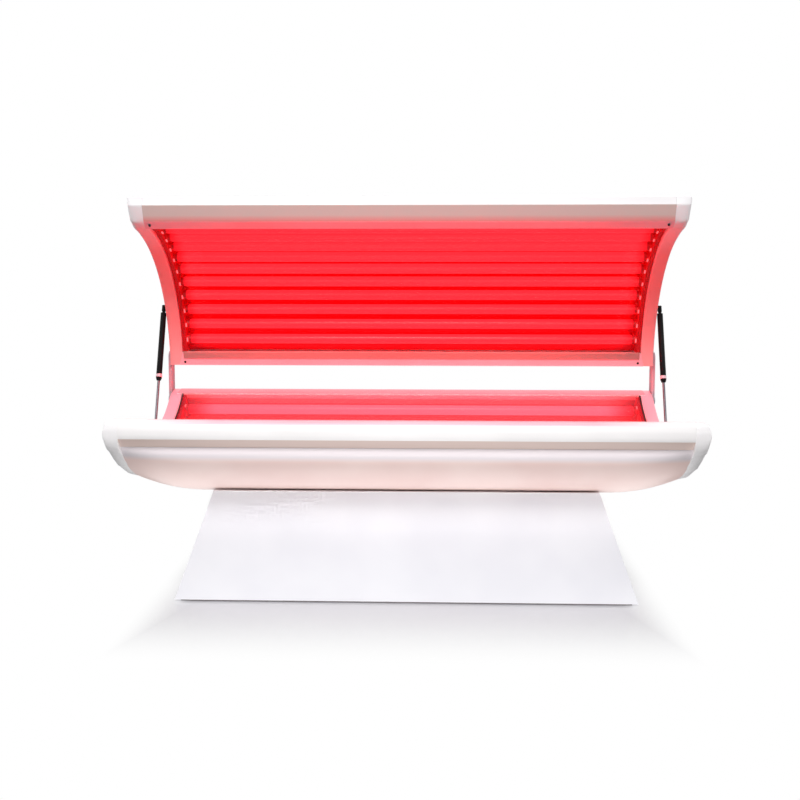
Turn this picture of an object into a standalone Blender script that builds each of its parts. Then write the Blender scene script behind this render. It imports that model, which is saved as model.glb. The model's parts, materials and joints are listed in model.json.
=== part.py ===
"""Clamshell light therapy bed: a boat-shaped bed on a tapered pedestal, and a lamp canopy hinged behind it.

Metres, +Z up, X along the bed, the front faces -Y. The origin is on the floor under the middle of the part.
Side outlines are written as (y, z), with y measured back from the front face of the bed, and on the canopy
from its hinge axis, with the canopy closed.
"""
import math

import bmesh
import bpy
from mathutils import Vector

# Fits between pieces
SEAT_GAP = 0.0003          # between pieces that rest on each other
TURN_GAP = 0.0005          # round a turning pin
HULL_RIM_GAP = 0.0008      # between a rail's foot and the edge of the hull
PEDESTAL_SEAM = 0.0019     # between the front and rear panels and the hull
STRUT_CLEARANCE = 0.0027   # between a strut and the canopy's end cap

# Overall form of the bed
CAP_FACE_X = 0.940         # middle of the bed to the flat outer face of an end cap
CAP_THICKNESS = 0.045
CAP_BULGE = 0.024          # the front of an end cap swells this far past its flat face
BULGE_FULLNESS = 0.5       # 1 swells as half an ellipse, less is boxier
CAP_FLAT = 0.063           # flat face between the swelling and the strut's stud
CAP_LIP = 0.001            # the cap stands this far outside the hull
CAP_OUTER_LIFT = 0.006     # the lower edge of a cap rises this much towards its outer face
BED_DEPTH = 0.860
RIM_HEIGHT = 0.628         # floor to the edge of the trough
RAIL_WIDTH = 0.090         # front of the bed to the edge of the trough
RAIL_WALL = 0.003
TROUGH_DEPTH = 0.1234      # edge of the trough to its lowest line

# Layers behind a lamp curve, and the lamps
ACRYLIC_RECESS = 0.008
ACRYLIC_THICKNESS = 0.005
LAMP_RADIUS = 0.019
LAMP_WALL = 0.001
LAMP_FRONT_GAP = 0.010     # between acrylic and lamps
LAMP_BACK_GAP = 0.008      # between lamps and reflector
LAMP_EDGE = 0.0485         # edge of the bank to the middle of its first lamp
REFLECTOR_THICKNESS = 0.0015
HOLDER_THICKNESS = 0.015   # lampholder strip, along the bed
FLANGE_DEPTH = 0.030       # a rail's flange beside the acrylic
BED_LAMP_COUNT = 8
CANOPY_LAMP_COUNT = 11

# Hull
HULL_WALL = 0.004
HULL_RISE_LENGTH = 0.2347  # the keel is level along the middle and rises over this length at each end
HULL_RISE_POWER = 2.2

# Pedestal
PEDESTAL_TOP_IN = 0.011    # each end of its top stands inside the level part of the keel
PEDESTAL_FLARE = 0.1285    # each end is this much longer at the floor
PEDESTAL_FRONT_BOTTOM = 0.120
PEDESTAL_FRONT_TOP = 0.180
PANEL_THICKNESS = 0.016
PANEL_FLOOR_GAP = 0.008
FLOOR_PLATE_THICKNESS = 0.012
TOP_PLATE_THICKNESS = 0.015

# Canopy
HINGE_IN = 0.030           # hinge axis in front of the bed's rear face
HINGE_DROP = 0.030         # hinge axis below the edge of the trough
OPEN_ANGLE = 51.0          # degrees that the canopy stands open at rest
CANOPY_FRONT_IN = 0.0383   # lamp curve's front edge behind the front of the bed
CANOPY_REAR_IN = 0.1303    # lamp curve's rear edge in front of the hinge axis
CANOPY_EDGE_UP = 0.0592    # both edges above the hinge axis
CANOPY_CURVE_DEPTH = 0.1158
CANOPY_REAR_RAIL_WIDTH = 0.050
CANOPY_FOOT_UP = 0.058     # foot of the rear rail above the lamp curve's edges
CANOPY_FOOT_WIDTH = 0.012  # level foot under the rear edge of the shell
CANOPY_CAP_BULGE = 0.0175
CANOPY_CAP_BULGE_REACH = 0.300
CANOPY_CAP_NOSE_HALF = 0.003
SHELL_WALL = 0.003
SHELL_FRONT_ROOM = 0.0252  # front edge of the shell past the reflector
SHELL_REAR_OUT = 0.0513    # rear edge of the shell behind the lamp curve
SHELL_ROOM = 0.0415        # top of the shell above the reflector
SHELL_CROWN = 0.143        # rise of the shell from its edges to its top

# Hinge arms and pins
ARM_THICKNESS = 0.012
ARM_HALF_WIDTH = 0.025
ARM_END_IN = 0.046         # arm's end in front of the shell's rear edge
ARM_END_UP = 0.0508        # arm's end above the lamp curve's edges
PIN_RADIUS = 0.008
PIN_FLANGE_RADIUS = 0.020
PIN_FLANGE_THICKNESS = 0.004
PIN_HEAD_RADIUS = 0.014
PIN_HEAD_THICKNESS = 0.005

# Gas struts
STRUT_UPPER_IN = 0.317     # upper stud in front of the hinge axis
STRUT_UPPER_UP = 0.032     # upper stud above the lamp curve
STRUT_LOWER_IN = 0.285     # lower stud in front of the bed's rear face
STRUT_LOWER_DROP = 0.166   # lower stud below the edge of the trough
STRUT_RADIUS = 0.011
STRUT_BODY_LENGTH = 0.265
STRUT_END_WALL = 0.004
STRUT_GLAND_RADIUS = 0.009
STRUT_GLAND_LENGTH = 0.006
ROD_RADIUS = 0.005
ROD_ENGAGED = 0.035        # rod left inside the cylinder at full stretch
SOCKET_STEP = 0.003        # the end sockets are this much slimmer than the cylinder
SOCKET_BEYOND = 0.009      # socket past its stud
SOCKET_BEFORE = 0.014      # socket on the strut's side of its stud
SOCKET_NECK = 0.008
SOCKET_NECK_RADIUS = 0.006
STUD_BASE_RADIUS = 0.012
STUD_BASE_THICKNESS = 0.003
STUD_NECK_RADIUS = 0.006

# Mains inlet, switch and ballast
INLET_HEIGHT = 0.050
INLET_THICKNESS = 0.012
INLET_CAVITY_DEPTH = 0.009
INLET_MARGIN = 0.007       # either side of its two cavities
INLET_BRIDGE = 0.006       # between the cavities
INLET_SOCKET_WIDTH = 0.025
INLET_SOCKET_HEIGHT = 0.020
INLET_X = 0.400
INLET_UP = 0.120           # along the rear panel from its lower edge
ROCKER_WIDTH = 0.014
ROCKER_HALF_HEIGHT = 0.010
ROCKER_DEPTH = 0.006
ROCKER_CREST = 0.002       # ends of the rocker past its middle
ROCKER_TILT = 8.0          # degrees either side of level
BALLAST_LENGTH = 0.600
BALLAST_WIDTH = 0.160
BALLAST_HEIGHT = 0.090
BALLAST_Y = 0.330

# Lip bumpers
BUMPER_END_IN = 0.0060     # middle of a bumper in from the end of the lip
BUMPER_OUT = 0.0203        # bumper in front of the lamp curve's edge
BUMPER_RADIUS = 0.0045
BUMPER_TIP_RADIUS = 0.0032
BUMPER_HEIGHT = 0.006
BUMPER_SIDE = 0.0042       # straight side above the rounded tip

# Outline of the front rail below its crest: (y, height above the trough's edge)
RAIL_OUTLINE = [(0.030, 0.009), (0.018, 0.010), (0.006, 0.000), (0.000, -0.020),
                (0.000, -0.040), (0.003, -0.052), (0.030, -0.081)]
# Half of the hull's outline, front to keel: (y, drop below its upper edge)
HULL_MIDDLE = [(0.0307, 0.000), (0.0245, 0.016), (0.022, 0.034), (0.034, 0.060), (0.075, 0.099),
               (0.120, 0.132), (0.198, 0.1737), (0.262, 0.196), (BED_DEPTH / 2, 0.203)]
HULL_END = [(0.0307, 0.000), (0.032, 0.006), (0.035, 0.013), (0.045, 0.028), (0.080, 0.062),
            (0.125, 0.094), (0.198, 0.129), (0.262, 0.146), (BED_DEPTH / 2, 0.166)]
# Lower front of an end cap, flush with the rail and then just outside the hull: (y, height at the rim)
CAP_NOSE = [(0.000, -0.046), (0.002, -0.062), (0.010, -0.082), (0.026, -0.100)]
# Outline of the canopy's lip round its nose, from the lamp curve's front edge: (y, z)
LIP_OUTLINE = [(-0.0344, -0.0053), (-0.0866, 0.0177), (-0.0987, 0.0442), (-0.0883, 0.0688)]

# Smoothness of round forms
ARC_STEPS = 16
ROUND_STEPS = 16
LAMP_SIDES = 14
RISE_STEPS = 6
BULGE_STEPS = 6
SHARP_ANGLE = 35.0


def curve_radius(half_chord, depth):
    """Radius of an arc of a given half width and depth."""
    return (half_chord ** 2 + depth ** 2) / (2 * depth)


def turned_point(point, angle):
    """A (y, z) point turned about the hinge axis."""
    y, z = point
    return (y * math.cos(angle) - z * math.sin(angle), y * math.sin(angle) + z * math.cos(angle))


# Ends of the bed
CAP_INNER_X = CAP_FACE_X - CAP_THICKNESS
SPAN_X = CAP_INNER_X - SEAT_GAP
HOLDER_INNER_X = SPAN_X - HOLDER_THICKNESS
LAMP_HALF = HOLDER_INNER_X - SEAT_GAP
HULL_FLAT_X = SPAN_X - HULL_RISE_LENGTH
CANOPY_CAP_FACE_X = CAP_FACE_X + SEAT_GAP + PIN_FLANGE_THICKNESS
STRUT_X = CANOPY_CAP_FACE_X + STRUT_CLEARANCE + STRUT_RADIUS
SOCKET_RADIUS = STRUT_RADIUS - SOCKET_STEP

# Trough, and the distances of the layers behind a lamp curve
TROUGH_HALF = BED_DEPTH / 2 - RAIL_WIDTH
TROUGH_RADIUS = curve_radius(TROUGH_HALF, TROUGH_DEPTH)
TROUGH_ANGLE = math.asin(TROUGH_HALF / TROUGH_RADIUS)
TROUGH_CENTRE = (BED_DEPTH / 2, RIM_HEIGHT - TROUGH_DEPTH + TROUGH_RADIUS)
LAMP_OUT = ACRYLIC_RECESS + ACRYLIC_THICKNESS + LAMP_FRONT_GAP + LAMP_RADIUS
REFLECTOR_OUT = LAMP_OUT + LAMP_RADIUS + LAMP_BACK_GAP
BANK_OUT = REFLECTOR_OUT + REFLECTOR_THICKNESS
HULL_TOP = RIM_HEIGHT + RAIL_OUTLINE[-1][1] - HULL_RIM_GAP
HULL_BOTTOM = HULL_TOP - HULL_MIDDLE[-1][1]

# Canopy, closed, from its hinge axis
HINGE_Y = BED_DEPTH - HINGE_IN
HINGE_HEIGHT = RIM_HEIGHT - HINGE_DROP
OPEN_TURN = -math.radians(OPEN_ANGLE)
EDGE_FRONT = CANOPY_FRONT_IN - HINGE_Y
EDGE_REAR = -CANOPY_REAR_IN
CANOPY_HALF = (EDGE_REAR - EDGE_FRONT) / 2
CANOPY_RADIUS = curve_radius(CANOPY_HALF, CANOPY_CURVE_DEPTH)
CANOPY_ANGLE = math.asin(CANOPY_HALF / CANOPY_RADIUS)
CANOPY_LIT_REAR = CANOPY_ANGLE - CANOPY_REAR_RAIL_WIDTH / CANOPY_RADIUS
CANOPY_CENTRE = ((EDGE_FRONT + EDGE_REAR) / 2, CANOPY_EDGE_UP + CANOPY_CURVE_DEPTH - CANOPY_RADIUS)
SHELL_FRONT = CANOPY_CENTRE[0] - (CANOPY_RADIUS + BANK_OUT) * math.sin(CANOPY_ANGLE) - SHELL_FRONT_ROOM
SHELL_REAR = EDGE_REAR + SHELL_REAR_OUT
SHELL_APEX = CANOPY_CENTRE[1] + CANOPY_RADIUS + BANK_OUT + SHELL_ROOM
SHELL_HALF = (SHELL_REAR - SHELL_FRONT) / 2
SHELL_RADIUS = curve_radius(SHELL_HALF, SHELL_CROWN)
SHELL_ANGLE = math.asin(SHELL_HALF / SHELL_RADIUS)
SHELL_CENTRE = ((SHELL_FRONT + SHELL_REAR) / 2, SHELL_APEX - SHELL_RADIUS)
LIP = [(EDGE_FRONT + y, CANOPY_EDGE_UP + z) for y, z in LIP_OUTLINE]

# Strut studs: the upper one on the closed canopy and at rest, the lower one on the bed
UPPER_RISE = math.sqrt(CANOPY_RADIUS ** 2 - (STRUT_UPPER_IN + CANOPY_CENTRE[0]) ** 2)
UPPER_ON_CANOPY = (-STRUT_UPPER_IN, CANOPY_CENTRE[1] + UPPER_RISE + STRUT_UPPER_UP)
UPPER_STUD = Vector((HINGE_Y, HINGE_HEIGHT)) + Vector(turned_point(UPPER_ON_CANOPY, OPEN_TURN))
LOWER_STUD = Vector((BED_DEPTH - STRUT_LOWER_IN, RIM_HEIGHT - STRUT_LOWER_DROP))
CAP_BULGE_REACH = LOWER_STUD.x - STUD_BASE_RADIUS - CAP_FLAT


def arc(centre, radius, start, end, above, steps=ARC_STEPS):
    """Points on a curve, by angle from the vertical; above is 1 over the centre and -1 under it."""
    angles = [start + (end - start) * i / steps for i in range(steps + 1)]
    return [(centre[0] + radius * math.sin(a), centre[1] + above * radius * math.cos(a)) for a in angles]


def strip(points, wall):
    """Closed outline of a bent strip; its wall lies on the left of the line, or on the right if negative."""
    line = [Vector(p) for p in points]
    offset = []
    for i, point in enumerate(line):
        before = (point - line[i - 1]).normalized() if i > 0 else None
        after = (line[i + 1] - point).normalized() if i + 1 < len(line) else None
        ways = [w for w in (before, after) if w is not None]
        normals = [Vector((-w.y, w.x)) for w in ways]
        middle = sum(normals, Vector((0, 0))).normalized()
        offset.append(point + middle * wall / middle.dot(normals[0]))
    return [tuple(p) for p in line + offset[::-1]]


def band(centre, inner, thickness, start, end, above):
    """Closed outline of a curved sheet."""
    near = arc(centre, inner, start, end, above)
    far = arc(centre, inner + thickness, start, end, above)
    return near + far[::-1]


def ring(centre, radius, sides):
    """A many-sided circle round a (y, z) point."""
    return [(centre[0] + radius * math.cos(2 * math.pi * i / sides),
             centre[1] + radius * math.sin(2 * math.pi * i / sides)) for i in range(sides)]


def value_at(outline, y):
    """Height of an outline that runs in order of y."""
    for (y0, z0), (y1, z1) in zip(outline, outline[1:]):
        if y0 <= y <= y1:
            return z0 + (z1 - z0) * (y - y0) / (y1 - y0)
    return outline[-1][1] if y > outline[-1][0] else outline[0][1]


def srgb(code):
    """Linear colour of a hex code."""
    parts = [int(code[i:i + 2], 16) / 255 for i in (0, 2, 4)]
    return [p / 12.92 if p <= 0.04045 else ((p + 0.055) / 1.055) ** 2.4 for p in parts] + [1.0]


def finish(name, code, roughness, metallic=0.0):
    """A plain surface."""
    material = bpy.data.materials.new(name)
    material.use_nodes = True
    shader = material.node_tree.nodes["Principled BSDF"]
    shader.inputs["Base Color"].default_value = srgb(code)
    shader.inputs["Roughness"].default_value = roughness
    shader.inputs["Metallic"].default_value = metallic
    return material


def place(item, material, parent, collection=None):
    """Link an object into the part."""
    item.data.materials.append(material)
    (collection or parts).objects.link(item)
    item.parent = parent
    return item


def frame_point(name, parent, location, turn=0.0):
    """An empty that carries other pieces."""
    empty = bpy.data.objects.new(name, None)
    parts.objects.link(empty)
    empty.parent = parent
    empty.location = location
    empty.rotation_euler.x = turn
    return empty


def plate(name, outlines, x_start, x_end, material, parent):
    """A (y, z) outline, with its holes, extruded along X."""
    curve = bpy.data.curves.new(name, "CURVE")
    curve.dimensions = "2D"
    curve.fill_mode = "BOTH"
    curve.extrude = abs(x_end - x_start) / 2
    for outline in outlines:
        spline = curve.splines.new("POLY")
        spline.points.add(len(outline) - 1)
        for point, (y, z) in zip(spline.points, outline):
            point.co = (y, z, 0, 1)
        spline.use_cyclic_u = True
    item = bpy.data.objects.new(name, curve)
    item.location = ((x_start + x_end) / 2, 0, 0)
    item.rotation_euler = (math.pi / 2, 0, math.pi / 2)
    return place(item, material, parent)


def mesh_object(name, shape, material, parent, collection=None):
    """An object made from a bmesh."""
    mesh = bpy.data.meshes.new(name)
    shape.to_mesh(mesh)
    shape.free()
    return place(bpy.data.objects.new(name, mesh), material, parent, collection)


def loft(name, rings, material, parent):
    """A closed solid through rings of equal count."""
    shape = bmesh.new()
    rows = [[shape.verts.new(p) for p in points] for points in rings]
    count = len(rows[0])
    for row, following in zip(rows, rows[1:]):
        for i in range(count):
            shape.faces.new((row[i], row[(i + 1) % count], following[(i + 1) % count], following[i]))
    shape.faces.new(rows[0])
    shape.faces.new(rows[-1])
    bmesh.ops.recalc_face_normals(shape, faces=shape.faces)
    return mesh_object(name, shape, material, parent)


def box(name, low, high, material, parent, collection=None):
    """A plain block between two corners."""
    shape = bmesh.new()
    bmesh.ops.create_cube(shape, size=1.0)
    size = [h - l for l, h in zip(low, high)]
    bmesh.ops.scale(shape, verts=shape.verts, vec=size)
    bmesh.ops.translate(shape, verts=shape.verts, vec=[(l + h) / 2 for l, h in zip(low, high)])
    return mesh_object(name, shape, material, parent, collection)


def tapered(name, bottom, top, material, parent):
    """A block whose lower and upper rectangles, (x0, x1, y0, y1, z), differ."""
    rings = []
    for x0, x1, y0, y1, z in (bottom, top):
        rings.append([(x0, y0, z), (x1, y0, z), (x1, y1, z), (x0, y1, z)])
    return loft(name, rings, material, parent)


def turned(name, profile, material, parent, location, rotation):
    """A turned piece: (radius, height) points from the top of its axis round to the bottom."""
    mesh = bpy.data.meshes.new(name)
    edges = [(i, i + 1) for i in range(len(profile) - 1)]
    mesh.from_pydata([(r, 0, h) for r, h in profile], edges, [])
    item = bpy.data.objects.new(name, mesh)
    screw = item.modifiers.new("turn", "SCREW")
    screw.axis = "Z"
    screw.steps = ROUND_STEPS
    screw.render_steps = ROUND_STEPS
    screw.use_merge_vertices = True
    screw.merge_threshold = 0.00001
    item.location = location
    item.rotation_euler = rotation
    return place(item, material, parent)


def cut(item, cutter):
    """Cut one solid with another."""
    cutter.hide_render = True
    cutter.display_type = "WIRE"
    hole = item.modifiers.new("cut", "BOOLEAN")
    hole.operation = "DIFFERENCE"
    hole.object = cutter


for leftover in list(bpy.data.objects):
    bpy.data.objects.remove(leftover, do_unlink=True)
parts = bpy.data.collections.new("light_therapy_bed")
cutters = bpy.data.collections.new("cutters")
bpy.context.scene.collection.children.link(parts)
bpy.context.scene.collection.children.link(cutters)

WHITE_PLASTIC = finish("white_abs", "F2EFF0", 0.35)
WHITE_METAL = finish("white_powder_coat", "EFEBEC", 0.40)
WHITE_PANEL = finish("white_lacquered_board", "F4F3F7", 0.45)
DARK_BOARD = finish("dark_base_board", "3A3A3E", 0.60)
CLEAR = finish("clear_acrylic", "FBE9EC", 0.05)
LAMP_GLASS = finish("red_lamp_glass", "FC4E5F", 0.25)
REFLECTIVE = finish("red_lit_reflector", "F92D3C", 0.30, 0.6)
HOLDER = finish("lampholder_plastic", "C92B38", 0.45)
STEEL = finish("grey_steel", "8C8C90", 0.35, 0.9)
WHITE_PAINT = finish("white_painted_steel", "EFE9EA", 0.40)
BLACK_PAINT = finish("black_paint", "17171A", 0.35)
CHROME = finish("chrome", "D8D8DC", 0.08, 1.0)
BLACK_RUBBER = finish("black_rubber", "1C1C1E", 0.80)
BLACK_PLASTIC = finish("black_plastic", "202022", 0.50)
DARK_CASING = finish("ballast_casing", "333338", 0.55)
SIDES = (("left", -1), ("right", 1))

# The part stands over the middle of its depth, with the canopy open
shell_curve = arc(SHELL_CENTRE, SHELL_RADIUS, -SHELL_ANGLE, SHELL_ANGLE, 1)
rearmost = max(HINGE_Y + turned_point(p, OPEN_TURN)[0] for p in shell_curve)
base = frame_point("bed_frame_point", None, (0, -max(rearmost, BED_DEPTH) / 2, 0))
canopy = frame_point("canopy_hinge_point", base, (0, HINGE_Y, HINGE_HEIGHT), OPEN_TURN)


# Hull: a thin moulded tub, level along the middle and rising to its ends
def hull_outline(x):
    """Half outline of the hull at a distance from the middle, front to keel."""
    reach = max(0.0, abs(x) - HULL_FLAT_X) / HULL_RISE_LENGTH
    share = reach ** HULL_RISE_POWER
    return [(y0 + (y1 - y0) * share, HULL_TOP - d0 - (d1 - d0) * share)
            for (y0, d0), (y1, d1) in zip(HULL_MIDDLE, HULL_END)]


def hull_row(x):
    """Points of the whole hull outline at one station."""
    half = hull_outline(x)
    rear = [(BED_DEPTH - y, z) for y, z in half[-2::-1]]
    return [(x, y, z) for y, z in half + rear]


rise = [HULL_FLAT_X + HULL_RISE_LENGTH * i / RISE_STEPS for i in range(RISE_STEPS + 1)]
stations = [-x for x in rise[::-1]] + rise
hull_shape = bmesh.new()
hull_rows = [[hull_shape.verts.new(p) for p in hull_row(x)] for x in stations]
for row, following in zip(hull_rows, hull_rows[1:]):
    for i in range(len(row) - 1):
        hull_shape.faces.new((row[i], row[i + 1], following[i + 1], following[i]))
hull = mesh_object("bed_hull", hull_shape, WHITE_PLASTIC, base)
wall = hull.modifiers.new("wall", "SOLIDIFY")
wall.thickness = HULL_WALL
wall.offset = -1
wall.use_even_offset = True

# Pedestal: a floor plate, four leaning panels and a top plate under the keel
pedestal_half_top = HULL_FLAT_X - PEDESTAL_TOP_IN
pedestal_half_bottom = pedestal_half_top + PEDESTAL_FLARE
pedestal_top = value_at(hull_outline(0), PEDESTAL_FRONT_TOP + PANEL_THICKNESS) - PEDESTAL_SEAM
keel_seat = HULL_BOTTOM - SEAT_GAP


def pedestal_edges(height):
    """Outer half-length and front of the pedestal at a height."""
    share = (height - PANEL_FLOOR_GAP) / (pedestal_top - PANEL_FLOOR_GAP)
    half = pedestal_half_bottom + (pedestal_half_top - pedestal_half_bottom) * share
    front = PEDESTAL_FRONT_BOTTOM + (PEDESTAL_FRONT_TOP - PEDESTAL_FRONT_BOTTOM) * share
    return half, front


def panel_section(height, panel):
    """Rectangle of one pedestal panel at a height."""
    half, front = pedestal_edges(height)
    inner = front + PANEL_THICKNESS
    if panel == "front":
        return (-half, half, front, inner, height)
    if panel == "rear":
        return (-half, half, BED_DEPTH - inner, BED_DEPTH - front, height)
    ends = (inner + SEAT_GAP, BED_DEPTH - inner - SEAT_GAP)
    if panel == "left":
        return (-half, -half + PANEL_THICKNESS, *ends, height)
    return (half - PANEL_THICKNESS, half, *ends, height)


def inside_plate(name, low, high):
    """A level plate that fits between the four panels."""
    half, front = pedestal_edges(high)
    x = half - PANEL_THICKNESS - SEAT_GAP
    y = front + PANEL_THICKNESS + SEAT_GAP
    return box(name, (-x, y, low), (x, BED_DEPTH - y, high), DARK_BOARD, base)


panel_tops = {"front": pedestal_top, "rear": pedestal_top, "left": keel_seat, "right": keel_seat}
for panel, panel_top in panel_tops.items():
    tapered(f"pedestal_{panel}_panel", panel_section(PANEL_FLOOR_GAP, panel), panel_section(panel_top, panel),
            WHITE_PANEL, base)
inside_plate("pedestal_floor_plate", 0.0, FLOOR_PLATE_THICKNESS)
inside_plate("pedestal_top_plate", keel_seat - TOP_PLATE_THICKNESS, keel_seat)

# Ballast for the lamps, on the floor plate
ballast_foot = FLOOR_PLATE_THICKNESS + SEAT_GAP
box("ballast_box", (-BALLAST_LENGTH / 2, BALLAST_Y, ballast_foot),
    (BALLAST_LENGTH / 2, BALLAST_Y + BALLAST_WIDTH, ballast_foot + BALLAST_HEIGHT), DARK_CASING, base)

# Mains inlet on the rear panel, with a socket and a rocker switch side by side
half_depth = ROCKER_DEPTH / 2
rocker_reach = half_depth + ROCKER_CREST
rocker_room = math.hypot(ROCKER_HALF_HEIGHT, rocker_reach) + TURN_GAP
rocker_cavity_width = ROCKER_WIDTH + 2 * TURN_GAP
inlet_half = INLET_MARGIN + (INLET_SOCKET_WIDTH + INLET_BRIDGE + rocker_cavity_width) / 2
socket_x = -inlet_half + INLET_MARGIN + INLET_SOCKET_WIDTH / 2
rocker_x = inlet_half - INLET_MARGIN - rocker_cavity_width / 2
panel_lean = math.atan2(PEDESTAL_FRONT_TOP - PEDESTAL_FRONT_BOTTOM, pedestal_top - PANEL_FLOOR_GAP)
inlet_height = PANEL_FLOOR_GAP + INLET_UP * math.cos(panel_lean)
inlet_spot = (INLET_X, BED_DEPTH - pedestal_edges(inlet_height)[1], inlet_height)
inlet_frame = frame_point("inlet_point", base, inlet_spot, panel_lean - math.pi / 2)
inlet = box("power_inlet", (-inlet_half, -INLET_HEIGHT / 2, SEAT_GAP),
            (inlet_half, INLET_HEIGHT / 2, INLET_THICKNESS), BLACK_PLASTIC, inlet_frame)
cavity_floor = INLET_THICKNESS - INLET_CAVITY_DEPTH
cutter_top = INLET_THICKNESS + INLET_CAVITY_DEPTH
for cavity, x, width, half_height in (("socket", socket_x, INLET_SOCKET_WIDTH, INLET_SOCKET_HEIGHT / 2),
                                      ("rocker", rocker_x, rocker_cavity_width, rocker_room)):
    cut(inlet, box(f"{cavity}_cavity", (x - width / 2, -half_height, cavity_floor),
                   (x + width / 2, half_height, cutter_top), BLACK_PLASTIC, inlet_frame, cutters))
rocker_pivot = frame_point("rocker_pivot", inlet_frame, (rocker_x, 0, INLET_THICKNESS - half_depth),
                           -math.radians(ROCKER_TILT))
plate("power_switch", [[(-ROCKER_HALF_HEIGHT, rocker_reach), (-ROCKER_HALF_HEIGHT, 0), (0, -half_depth),
                        (ROCKER_HALF_HEIGHT, 0), (ROCKER_HALF_HEIGHT, rocker_reach), (0, half_depth)]],
      -ROCKER_WIDTH / 2, ROCKER_WIDTH / 2, BLACK_PLASTIC, rocker_pivot)


# Rails along the front and rear of the trough
def flange(centre, radius, angle, above):
    """Line of a rail's flange beside the edge of the acrylic, outer end first."""
    edge = angle + math.copysign(SEAT_GAP / radius, angle)
    return [arc(centre, radius + depth, edge, 0, above, 1)[0] for depth in (FLANGE_DEPTH, 0)]


rail_front = [(y, RIM_HEIGHT + z) for y, z in RAIL_OUTLINE]
front_line = flange(TROUGH_CENTRE, TROUGH_RADIUS, -TROUGH_ANGLE, -1) + rail_front
rear_line = [(BED_DEPTH - y, z) for y, z in front_line]
plate("bed_front_rail", [strip(front_line, RAIL_WALL)], -SPAN_X, SPAN_X, WHITE_METAL, base)
plate("bed_rear_rail", [strip(rear_line, -RAIL_WALL)], -SPAN_X, SPAN_X, WHITE_METAL, base)


# End caps: thick mouldings that close the bed and carry rails, hull, lamps and hinges
def swell(distance, reach):
    """Share of the cap's bulge at a distance from its front."""
    share = max(0.0, 1.0 - distance / reach)
    return share * share * (3 - 2 * share)


def cap_ring(y, top, low_inner, low_outer, face_x, bulge, sign):
    """One upright section of an end cap, with a rounded bulge on its outer face."""
    points = [(CAP_INNER_X, y, top), (CAP_INNER_X, y, low_inner)]
    for step in range(BULGE_STEPS + 1):
        turn = math.pi * step / BULGE_STEPS
        share = (1 - math.cos(turn)) / 2
        out = bulge * max(0.0, math.sin(turn)) ** BULGE_FULLNESS
        points.append((face_x + out, y, low_outer + (top - low_outer) * share))
    return [(sign * x, y, z) for x, y, z in points]


cap_front_top = sorted([rail_front[3], *rail_front[:3]])
cap_trough = arc(TROUGH_CENTRE, TROUGH_RADIUS, -TROUGH_ANGLE, 0, -1, ARC_STEPS // 2)
cap_top = cap_front_top + cap_trough
cap_nose = [(y, RIM_HEIGHT + z) for y, z in CAP_NOSE]
cap_low = cap_nose + [(y, z - CAP_LIP) for y, z in hull_outline(SPAN_X)[3:]]
cap_stations = sorted({round(y, 5) for y, _ in cap_top + cap_low})
for side, sign in SIDES:
    rings = []
    for y in cap_stations + [BED_DEPTH - y for y in cap_stations[-2::-1]]:
        near = min(y, BED_DEPTH - y)
        low = value_at(cap_low, near)
        lift = CAP_OUTER_LIFT * min(1.0, near / RAIL_WIDTH)
        rings.append(cap_ring(y, value_at(cap_top, near), low, low + lift, CAP_FACE_X,
                              CAP_BULGE * swell(y, CAP_BULGE_REACH), sign))
    loft(f"bed_end_cap_{side}", rings, WHITE_PLASTIC, base)


# Lamp bank: reflector, lampholder strips, lamps and a clear acrylic sheet, built alike for both halves
def lamp_bank(half, centre, radius, above, start, end, lamp_count, parent):
    """The layers between two angles of one lamp curve."""
    gap = SEAT_GAP / radius
    acrylic = band(centre, radius + ACRYLIC_RECESS, ACRYLIC_THICKNESS, start, end, above)
    plate(f"{half}_acrylic", [acrylic], -SPAN_X, SPAN_X, CLEAR, parent)
    reflector = band(centre, radius + REFLECTOR_OUT, REFLECTOR_THICKNESS, start, end, above)
    plate(f"{half}_reflector", [reflector], -SPAN_X, SPAN_X, REFLECTIVE, parent)
    holder_out = ACRYLIC_RECESS + ACRYLIC_THICKNESS + SEAT_GAP
    holder_depth = REFLECTOR_OUT - SEAT_GAP - holder_out
    holder = band(centre, radius + holder_out, holder_depth, start + gap, end - gap, above)
    for side, sign in SIDES:
        plate(f"{half}_lampholder_strip_{side}", [holder], sign * HOLDER_INNER_X, sign * SPAN_X,
              HOLDER, parent)
    lamp_curve = radius + LAMP_OUT
    first = start + LAMP_EDGE / lamp_curve
    last = end - LAMP_EDGE / lamp_curve
    for number, spot in enumerate(arc(centre, lamp_curve, first, last, above, lamp_count - 1), 1):
        circles = [ring(spot, LAMP_RADIUS, LAMP_SIDES), ring(spot, LAMP_RADIUS - LAMP_WALL, LAMP_SIDES)]
        plate(f"{half}_lamp_{number:02d}", circles, -LAMP_HALF, LAMP_HALF, LAMP_GLASS, parent)


lamp_bank("bed", TROUGH_CENTRE, TROUGH_RADIUS, -1, -TROUGH_ANGLE, TROUGH_ANGLE, BED_LAMP_COUNT, base)
lamp_bank("canopy", CANOPY_CENTRE, CANOPY_RADIUS, 1, -CANOPY_ANGLE, CANOPY_LIT_REAR,
          CANOPY_LAMP_COUNT, canopy)

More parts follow.
